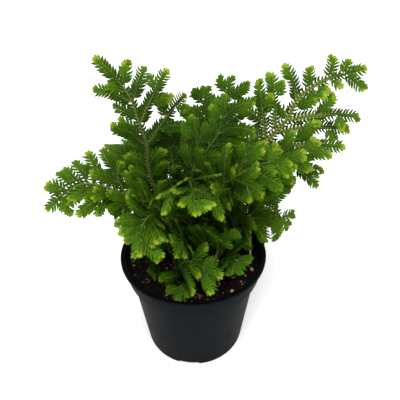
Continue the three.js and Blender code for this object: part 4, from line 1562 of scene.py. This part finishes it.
def leaf_finish(old, fresh, young):
    """Green by the leaf's age, with painted shade deep inside the plant, on the edge under the next leaf and
    on the top leaves' feet, and a painted highlight on the other edge. along is 0 at its foot and 1 at its
    point, and across is 0 in its middle, 1 at the edge towards the shoot's tip and -1 at the other. pale is 0
    on side leaves."""
    finish = Finish("spikemoss_leaf")
    youth, tone = finish.mark("youth"), finish.mark("tone")
    across, along, pale = finish.mark("across"), finish.mark("along"), finish.mark("pale")
    cloud = finish.noise(90, 2)
    fleck = finish.noise(900, 3)
    mottled = youth + (cloud - 0.5) * 0.3 + (along - 0.5) * 0.12
    grown = finish.blend(old, fresh, finish.ramp(mottled, 0.02, 0.5, "LINEAR"))
    colour = finish.blend(grown, young, finish.ramp(mottled, 0.66, 0.98, "LINEAR"))
    deep = finish.blend(colour, (0.55, 0.62, 0.5, 1), 0.9 * (1 - tone), "MULTIPLY")
    vein = finish.ramp(1 - abs(across), 0.72, 1.0) * (1 - 0.6 * along)
    veined = finish.blend(deep, srgb(92, 120, 20), vein * 0.3)
    # Painted shade on the edge towards the tip, which lies under the next leaf, and a painted highlight on
    # the other edge, which catches the light.
    painted_edge_shade = finish.ramp(across, 0.05, 0.9) * (1 - 0.6 * youth)
    rowed = finish.blend(veined, (0.3, 0.38, 0.35, 1), painted_edge_shade * 0.85, "MULTIPLY")
    lit = finish.blend(rowed, srgb(110, 144, 20), finish.ramp(-across, 0.5, 1.0) * 0.35)
    # The top leaves have a pale margin and a pale point, like a plait, and painted shade on the foot, which
    # lies under the point of the leaf behind it.
    edged = finish.blend(lit, srgb(146, 168, 82), finish.ramp(abs(across), 0.5, 1.0) * pale * 0.8)
    plait = finish.ramp(pale, 0.42, 0.9)
    foot, point = finish.ramp(along, 0.5, 0.1), finish.ramp(along, 0.25, 0.75)
    foot_shaded = finish.blend(edged, (0.5, 0.55, 0.42, 1), plait * foot * 0.75, "MULTIPLY")
    plaited = finish.blend(foot_shaded, srgb(176, 192, 104), plait * point * 0.7)
    # Painted shade deep inside the plant, where the leaves lie in the dark.
    shaded = finish.blend(plaited, (0.38, 0.48, 0.5, 1), painted_shade_depth(finish), "MULTIPLY")
    flecked = finish.blend(shaded, (0.8, 0.85, 0.75, 1), finish.ramp(fleck, 0.45, 0.7) * 0.35, "MULTIPLY")
    return finish.close({
        "Base Color": flecked,
        "Roughness": finish.ramp(fleck, 0.2, 0.8) * 0.16 + 0.38,
        "Specular IOR Level": 0.03,
        "Normal": finish.bump(finish.noise(1400, 2, (1, 1, 0.4)), 0.0002, 0.5),
    })


def stem_finish(old, young):
    finish = Finish("spikemoss_stem")
    youth = finish.mark("youth")
    streaks = finish.noise(700, 3, (1, 1, 0.15))
    cloud = finish.noise(60, 2)
    colour = finish.blend(old, young, finish.ramp(youth + (cloud - 0.5) * 0.3, 0, 0.8))
    streaked = finish.blend(colour, srgb(96, 78, 40), finish.ramp(streaks, 0.5, 0.75) * 0.45)
    # Painted shade deep inside the plant, where the stems lie in the dark.
    shaded = finish.blend(streaked, (0.35, 0.4, 0.45, 1), painted_shade_depth(finish), "MULTIPLY")
    return finish.close({
        "Base Color": shaded,
        "Roughness": streaks * 0.2 + 0.42,
        "Specular IOR Level": 0.1,
        "Normal": finish.bump(streaks, 0.0003, 0.6),
    })


def root_finish(colour):
    finish = Finish("straw_root")
    streaks = finish.noise(500, 4, (1, 1, 0.12))
    patches = finish.noise(110, 2)
    tinted = finish.blend(colour, srgb(92, 70, 40), finish.ramp(patches, 0.45, 0.75) * 0.6)
    streaked = finish.blend(tinted, srgb(196, 180, 128), finish.ramp(streaks, 0.5, 0.8) * 0.5)
    return finish.close({
        "Base Color": streaked,
        "Roughness": streaks * 0.25 + 0.5,
        "Normal": finish.bump(streaks, 0.0003, 0.7),
    })


def plastic_finish(colour, gloss):
    finish = Finish("pot_plastic")
    grain = finish.noise(1500, 2)
    cloud = finish.noise(28, 3)
    scuffs = finish.noise(260, 4, (1, 1, 0.16))
    scuffed = finish.ramp(scuffs, 0.58, 0.74)
    tinted = finish.blend(colour, srgb(20, 22, 24), finish.ramp(cloud, 0.4, 0.75) * 0.25)
    worn = finish.blend(tinted, srgb(34, 34, 33), scuffed * 0.2)
    # Painted shade: the inside of the wall and most of the lip's top, darkened nearly to black.
    inside_shaded = finish.blend(worn, srgb(3, 3, 3), finish.mark("tone") * 0.85)
    rough = 1 - gloss + cloud * 0.12 + scuffed * 0.14
    return finish.close({
        "Base Color": inside_shaded,
        "Roughness": rough,
        "Specular IOR Level": 0.015,
        "Normal": finish.bump(grain * 0.5 + scuffs * 0.5, 0.00012, 0.5),
    })


def peat_finish(colour):
    finish = Finish("peat")
    tone = finish.mark("tone")
    crumb = finish.noise(420, 5, roughness=0.65)
    cloud = finish.noise(55, 3)
    dark = finish.blend(colour, srgb(4, 3, 2), finish.ramp(crumb, 0.62, 0.35))
    warm = finish.blend(dark, srgb(52, 32, 24), finish.ramp(crumb + tone * 0.45, 0.72, 0.95) * 0.6)
    damp = finish.ramp(cloud, 0.55, 0.35)
    return finish.close({
        "Base Color": finish.blend(warm, (0.6, 0.6, 0.6, 1), damp * 0.6, "MULTIPLY"),
        "Roughness": 0.95 - damp * 0.3,
        "Specular IOR Level": 0.08,
        "Normal": finish.bump(crumb, 0.0012, 0.8),
    })


def bark_finish():
    finish = Finish("bark")
    tone = finish.mark("tone")
    grain = finish.noise(380, 4, (1, 0.3, 1))
    colour = finish.blend(srgb(48, 24, 18), srgb(140, 112, 66), tone)
    lined = finish.blend(colour, srgb(30, 18, 12), finish.ramp(grain, 0.5, 0.7) * 0.7)
    return finish.close({
        "Base Color": lined,
        "Roughness": grain * 0.2 + 0.72,
        "Normal": finish.bump(grain, 0.0008, 0.8),
    })


def perlite_finish():
    finish = Finish("perlite")
    tone = finish.mark("tone")
    pores = finish.noise(1100, 4)
    colour = finish.blend(srgb(166, 160, 144), srgb(112, 98, 72), tone)
    stained = finish.blend(colour, srgb(110, 92, 70), finish.ramp(pores, 0.55, 0.75) * 0.5)
    return finish.close({
        "Base Color": stained,
        "Roughness": pores * 0.1 + 0.85,
        "Normal": finish.bump(pores, 0.0006, 0.8),
    })


def floor_finish(colour):
    """Pale paper, lit from behind where it stands up as a wall."""
    finish = Finish("floor_paper")
    fibre = finish.noise(40, 2)
    height = finish.node("ShaderNodeSeparateXYZ", None, {"Vector": finish.place()}, out="Z")
    return finish.close({
        "Base Color": finish.blend(colour, (0.9, 0.9, 0.9, 1), fibre * 0.1, "MULTIPLY"),
        "Roughness": 0.9 + fibre * 0.05,
        "Specular IOR Level": 0.2,
        "Emission Color": finish.blend((0, 0, 0, 1), (1, 1, 1, 1), finish.ramp(height, 0.01, 0.5)),
        "Emission Strength": 1.0,
    })


# ---- What a user may change ----------------------------------------------------------------------
def colour_property(name, description, default):
    return bpy.props.FloatVectorProperty(
        name=name, description=description, subtype="COLOR", size=4, min=0, max=1, default=default
    )


def share_property(name, description):
    return bpy.props.FloatProperty(
        name=name, description=description, subtype="FACTOR", min=0.5, max=1.5, default=1.0
    )


def light_property(name, description, default):
    return bpy.props.FloatProperty(name=name, description=description, min=0, max=15, default=default)


class SPIKEMOSS_PG_fronds(bpy.types.PropertyGroup):
    leaf_length: share_property("Leaf length", "Length of a side leaf, as a share of its usual length")
    leaf_width: share_property("Leaf width", "Width of a side leaf, as a share of its usual width")
    old: colour_property("Old leaves", "Colour of the old leaves", srgb(19, 46, 2))
    fresh: colour_property("Grown leaves", "Colour of the leaves behind the tips", srgb(57, 92, 6))
    young: colour_property("Young leaves", "Colour of the leaves at the tips", srgb(132, 152, 38))
    stem_old: colour_property("Old stem", "Colour of a stem at its foot", srgb(88, 90, 40))
    stem_young: colour_property("Young stem", "Colour of a stem near its tip", srgb(78, 108, 26))


class SPIKEMOSS_PG_stilts(bpy.types.PropertyGroup):
    radius: bpy.props.FloatProperty(
        name="Radius",
        description="Radius of a stilt root",
        default=STILT_RADIUS * MM,
        min=0.0003,
        max=0.0012,
        subtype="DISTANCE",
        unit="LENGTH",
    )
    colour: colour_property("Root", "Colour of the stilt roots", srgb(178, 156, 104))


class SPIKEMOSS_PG_pot(bpy.types.PropertyGroup):
    colour: colour_property("Plastic", "Colour of the pot", srgb(13, 15, 17))
    gloss: bpy.props.FloatProperty(
        name="Gloss",
        description="How smooth the plastic is",
        default=0.56,
        min=0.2,
        max=0.9,
        subtype="FACTOR",
    )


class SPIKEMOSS_PG_peat(bpy.types.PropertyGroup):
    colour: colour_property("Peat", "Colour of the damp peat", srgb(15, 10, 7))
    grains: bpy.props.IntProperty(
        name="Grains",
        description="Number of peat grains on top",
        default=2600,
        min=100,
        max=4000,
    )


class SPIKEMOSS_PG_stage(bpy.types.PropertyGroup):
    floor: colour_property("Floor", "Colour of the floor", (0.8, 0.8, 0.8, 1))
    key_strength: light_property("Key light", "Watts a square metre of the soft light in front", 4.9)
    back_strength: light_property("Back light", "Watts a square metre of the soft light behind", 1.2)


GROUPS = {
    "spikemoss_fronds": SPIKEMOSS_PG_fronds,
    "spikemoss_stilts": SPIKEMOSS_PG_stilts,
    "spikemoss_pot": SPIKEMOSS_PG_pot,
    "spikemoss_peat": SPIKEMOSS_PG_peat,
    "spikemoss_stage": SPIKEMOSS_PG_stage,
}


# ---- Operators -----------------------------------------------------------------------------------
class SPIKEMOSS_OT_fronds(bpy.types.Operator):
    """Grows the leafy fronds"""

    bl_idname = "spikemoss.fronds"
    bl_label = "Fronds"

    def execute(self, context):
        chosen = context.scene.spikemoss_fronds
        leaf = leaf_finish(tuple(chosen.old), tuple(chosen.fresh), tuple(chosen.young))
        stem = stem_finish(tuple(chosen.stem_old), tuple(chosen.stem_young))
        leaf_size = {"length": chosen.leaf_length, "width": chosen.leaf_width}
        room, ribs, _ = grow_plant()
        for seed, (name, rib) in enumerate(ribs.items()):
            skin = Skin()
            foliage = Foliage(room, seed, {**USUAL, **UNUSUAL.get(name, {}), **leaf_size})
            add_shoot(skin, foliage, rib)
            foliage.grow(skin)
            frond = skin.piece("frond_" + name, [leaf, stem], crease_deg=70)
            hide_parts("spray_" + name)
        return {"FINISHED"}


class SPIKEMOSS_OT_stilts(bpy.types.Operator):
    """Grows the stilt roots between the fronds and the peat"""

    bl_idname = "spikemoss.stilts"
    bl_label = "Stilt roots"

    def execute(self, context):
        chosen = context.scene.spikemoss_stilts
        finish = root_finish(tuple(chosen.colour))
        _, _, stilts = grow_plant()
        for name, root in stilts.items():
            strand, _ = strand_of(root)
            arcs = np.linspace(0, strand.length, STILT_RINGS)
            knots = STILT_KNOTS["height"] * np.sin(arcs * STILT_KNOTS["often"])
            behind = strand.length - arcs
            swelling = STILT_SWELLING["share"] * np.exp(-behind / STILT_SWELLING["fade"])
            radii = chosen.radius / MM * (1 + knots + swelling)
            skin = Skin()
            add_tube(skin, strand, arcs, radii, STILT_SIDES, finish=0, ripple=STILT_RIPPLE)
            piece = skin.piece("root_" + name, [finish])
            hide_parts("stilt_" + name)
        return {"FINISHED"}


class SPIKEMOSS_OT_pot(bpy.types.Operator):
    """Turns the pot, notches its foot and bores its drain holes"""

    bl_idname = "spikemoss.pot"
    bl_label = "Pot"

    def execute(self, context):
        chosen = context.scene.spikemoss_pot
        skin = Skin()
        points, faces = turned_form(pot_profile(), POT_COLUMNS)
        # The mark given here is 1 on the inside, where the plastic gets painted shade.
        skin.add(notch_foot(points), faces, tone=inner_side(points))
        plastic = plastic_finish(tuple(chosen.colour), chosen.gloss)
        pot = skin.piece("nursery_pot", [plastic], crease_deg=32)
        bore_drains(pot)
        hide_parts("pot")
        return {"FINISHED"}


class SPIKEMOSS_OT_peat(bpy.types.Operator):
    """Fills the pot with peat and strews grains, bark and perlite over it"""

    bl_idname = "spikemoss.peat"
    bl_label = "Peat"

    def execute(self, context):
        chosen = context.scene.spikemoss_peat
        peat = peat_finish(tuple(chosen.colour))
        body = Skin()
        body.add(*peat_form())
        bed = body.piece("peat_bed", [peat], crease_deg=70)
        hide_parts("soil")
        self._strew("peat_grains", peat, 11, [
            {"count": chosen.grains, "size": (0.8, 2.8), "shape": (1, 0.8, 0.75), "detail": 1},
        ])
        self._strew("bark_chips", bark_finish(), 12, [
            {"count": 60, "size": (3, 7.5), "shape": (1, 0.5, 0.24), "detail": 2, "rough": 0.16},
            {"count": 160, "size": (1.4, 3.4), "shape": (1, 0.55, 0.35), "detail": 1, "rough": 0.3},
        ])
        self._strew("perlite", perlite_finish(), 13, [
            {"count": 5, "size": (2.3, 3.9), "shape": (1, 0.75, 0.6), "detail": 2, "rough": 0.27},
            {"count": 60, "size": (0.7, 1.4), "shape": (1, 0.8, 0.7), "detail": 1, "rough": 0.14},
        ])
        return {"FINISHED"}

    def _strew(self, name, finish, seed, sorts):
        random = np.random.default_rng(seed)
        skin = Skin()
        for sort in sorts:
            scatter(skin, random, **sort)
        skin.piece(name, [finish], crease_deg=30)


def floor_form():
    """A floor that turns up into a low wall all round."""
    edge, top = (FLOOR_RADIUS, 0), (FLOOR_RADIUS, FLOOR_WALL)
    corner = round_corner((0, 0), edge, top, FLOOR_CORNER, steps=12)
    points, faces = turned_form([(0, 0), *corner, top, (0, FLOOR_WALL)], FLOOR_COLUMNS)
    return points[:-1], faces[:2]


def camera_axes():
    """The camera's right, up and back."""
    tilt, roll = math.radians(CAMERA["tilt_deg"]), math.radians(CAMERA["roll_deg"])
    back = Vector((0, -math.cos(tilt), math.sin(tilt)))
    right, up = Vector((1, 0, 0)), Vector((0, math.sin(tilt), math.cos(tilt)))
    return (
        right * math.cos(roll) + up * math.sin(roll),
        up * math.cos(roll) - right * math.sin(roll),
        back,
    )


class SPIKEMOSS_OT_stage(bpy.types.Operator):
    """Sets the floor, the soft light and the camera"""

    bl_idname = "spikemoss.stage"
    bl_label = "Stage"

    def execute(self, context):
        chosen = context.scene.spikemoss_stage
        self._lay_floor(tuple(chosen.floor))
        self._light_room(context.scene)
        self._hang_lamp("key_lamp", strength=chosen.key_strength, **KEY_LAMP)
        self._hang_lamp("back_lamp", strength=chosen.back_strength, **BACK_LAMP)
        self._set_camera(context.scene)
        context.scene.view_settings.view_transform = "Standard"
        context.scene.view_settings.look = "None"
        return {"FINISHED"}

    def _lay_floor(self, colour):
        points, faces = floor_form()
        mesh = bpy.data.meshes.new("floor")
        mesh.from_pydata((points * MM).tolist(), [], [face for rows in faces for face in rows.tolist()])
        mesh.shade_smooth()
        mesh.materials.append(floor_finish(colour))
        floor = bpy.data.objects.new("floor", mesh)
        bpy.context.scene.collection.objects.link(floor)

    def _light_room(self, scene):
        world = bpy.data.worlds.new("soft_room")
        world.use_nodes = True
        sockets = world.node_tree.nodes["Background"].inputs
        sockets["Color"].default_value = (1, 1, 1, 1)
        sockets["Strength"].default_value = ROOM_LIGHT
        scene.world = world

    def _hang_lamp(self, name, place, width_deg, strength):
        light = bpy.data.lights.new(name, "SUN")
        light.angle = math.radians(width_deg)
        light.energy = strength
        lamp = bpy.data.objects.new(name, light)
        lamp.location = place
        lamp.rotation_euler = (Vector(LAMP_AIM) - Vector(place)).to_track_quat("-Z", "Y").to_euler()
        bpy.context.scene.collection.objects.link(lamp)

    def _set_camera(self, scene):
        data = bpy.data.cameras.new("camera")
        data.sensor_width = 36
        data.lens = CAMERA["lens"]
        data.clip_start = 0.01
        camera = bpy.data.objects.new("camera", data)
        right, up, back = camera_axes()
        place = (Vector(CAMERA["aim"]) + back * CAMERA["far"]) * MM
        camera.matrix_world = Matrix((right, up, back)).transposed().to_4x4()
        camera.matrix_world.translation = place
        scene.collection.objects.link(camera)
        scene.camera = camera


class SPIKEMOSS_PT_panel(bpy.types.Panel):
    """Lists the plant's parts"""

    bl_idname = "SPIKEMOSS_PT_panel"
    bl_label = "Spikemoss"
    bl_space_type = "VIEW_3D"
    bl_region_type = "UI"
    bl_category = "Spikemoss"

    def draw(self, context):
        for operator, group in zip(OPERATORS, GROUPS):
            box = self.layout.box()
            settings = getattr(context.scene, group)
            for name in settings.bl_rna.properties.keys():
                if name not in ("rna_type", "name"):
                    box.prop(settings, name)
            box.operator(operator.bl_idname)


OPERATORS = (
    SPIKEMOSS_OT_fronds,
    SPIKEMOSS_OT_stilts,
    SPIKEMOSS_OT_pot,
    SPIKEMOSS_OT_peat,
    SPIKEMOSS_OT_stage,
)
CLASSES = (*GROUPS.values(), *OPERATORS, SPIKEMOSS_PT_panel)


def register():
    for cls in CLASSES:
        bpy.utils.register_class(cls)
    for name, group in GROUPS.items():
        setattr(bpy.types.Scene, name, bpy.props.PointerProperty(type=group))


def unregister():
    for name in GROUPS:
        delattr(bpy.types.Scene, name)
    for cls in reversed(CLASSES):
        bpy.utils.unregister_class(cls)


def main():
    register()
    bpy.ops.spikemoss.fronds()
    bpy.ops.spikemoss.stilts()
    bpy.ops.spikemoss.pot()
    bpy.ops.spikemoss.peat()
    bpy.ops.spikemoss.stage()


if __name__ == "__main__":
    main()
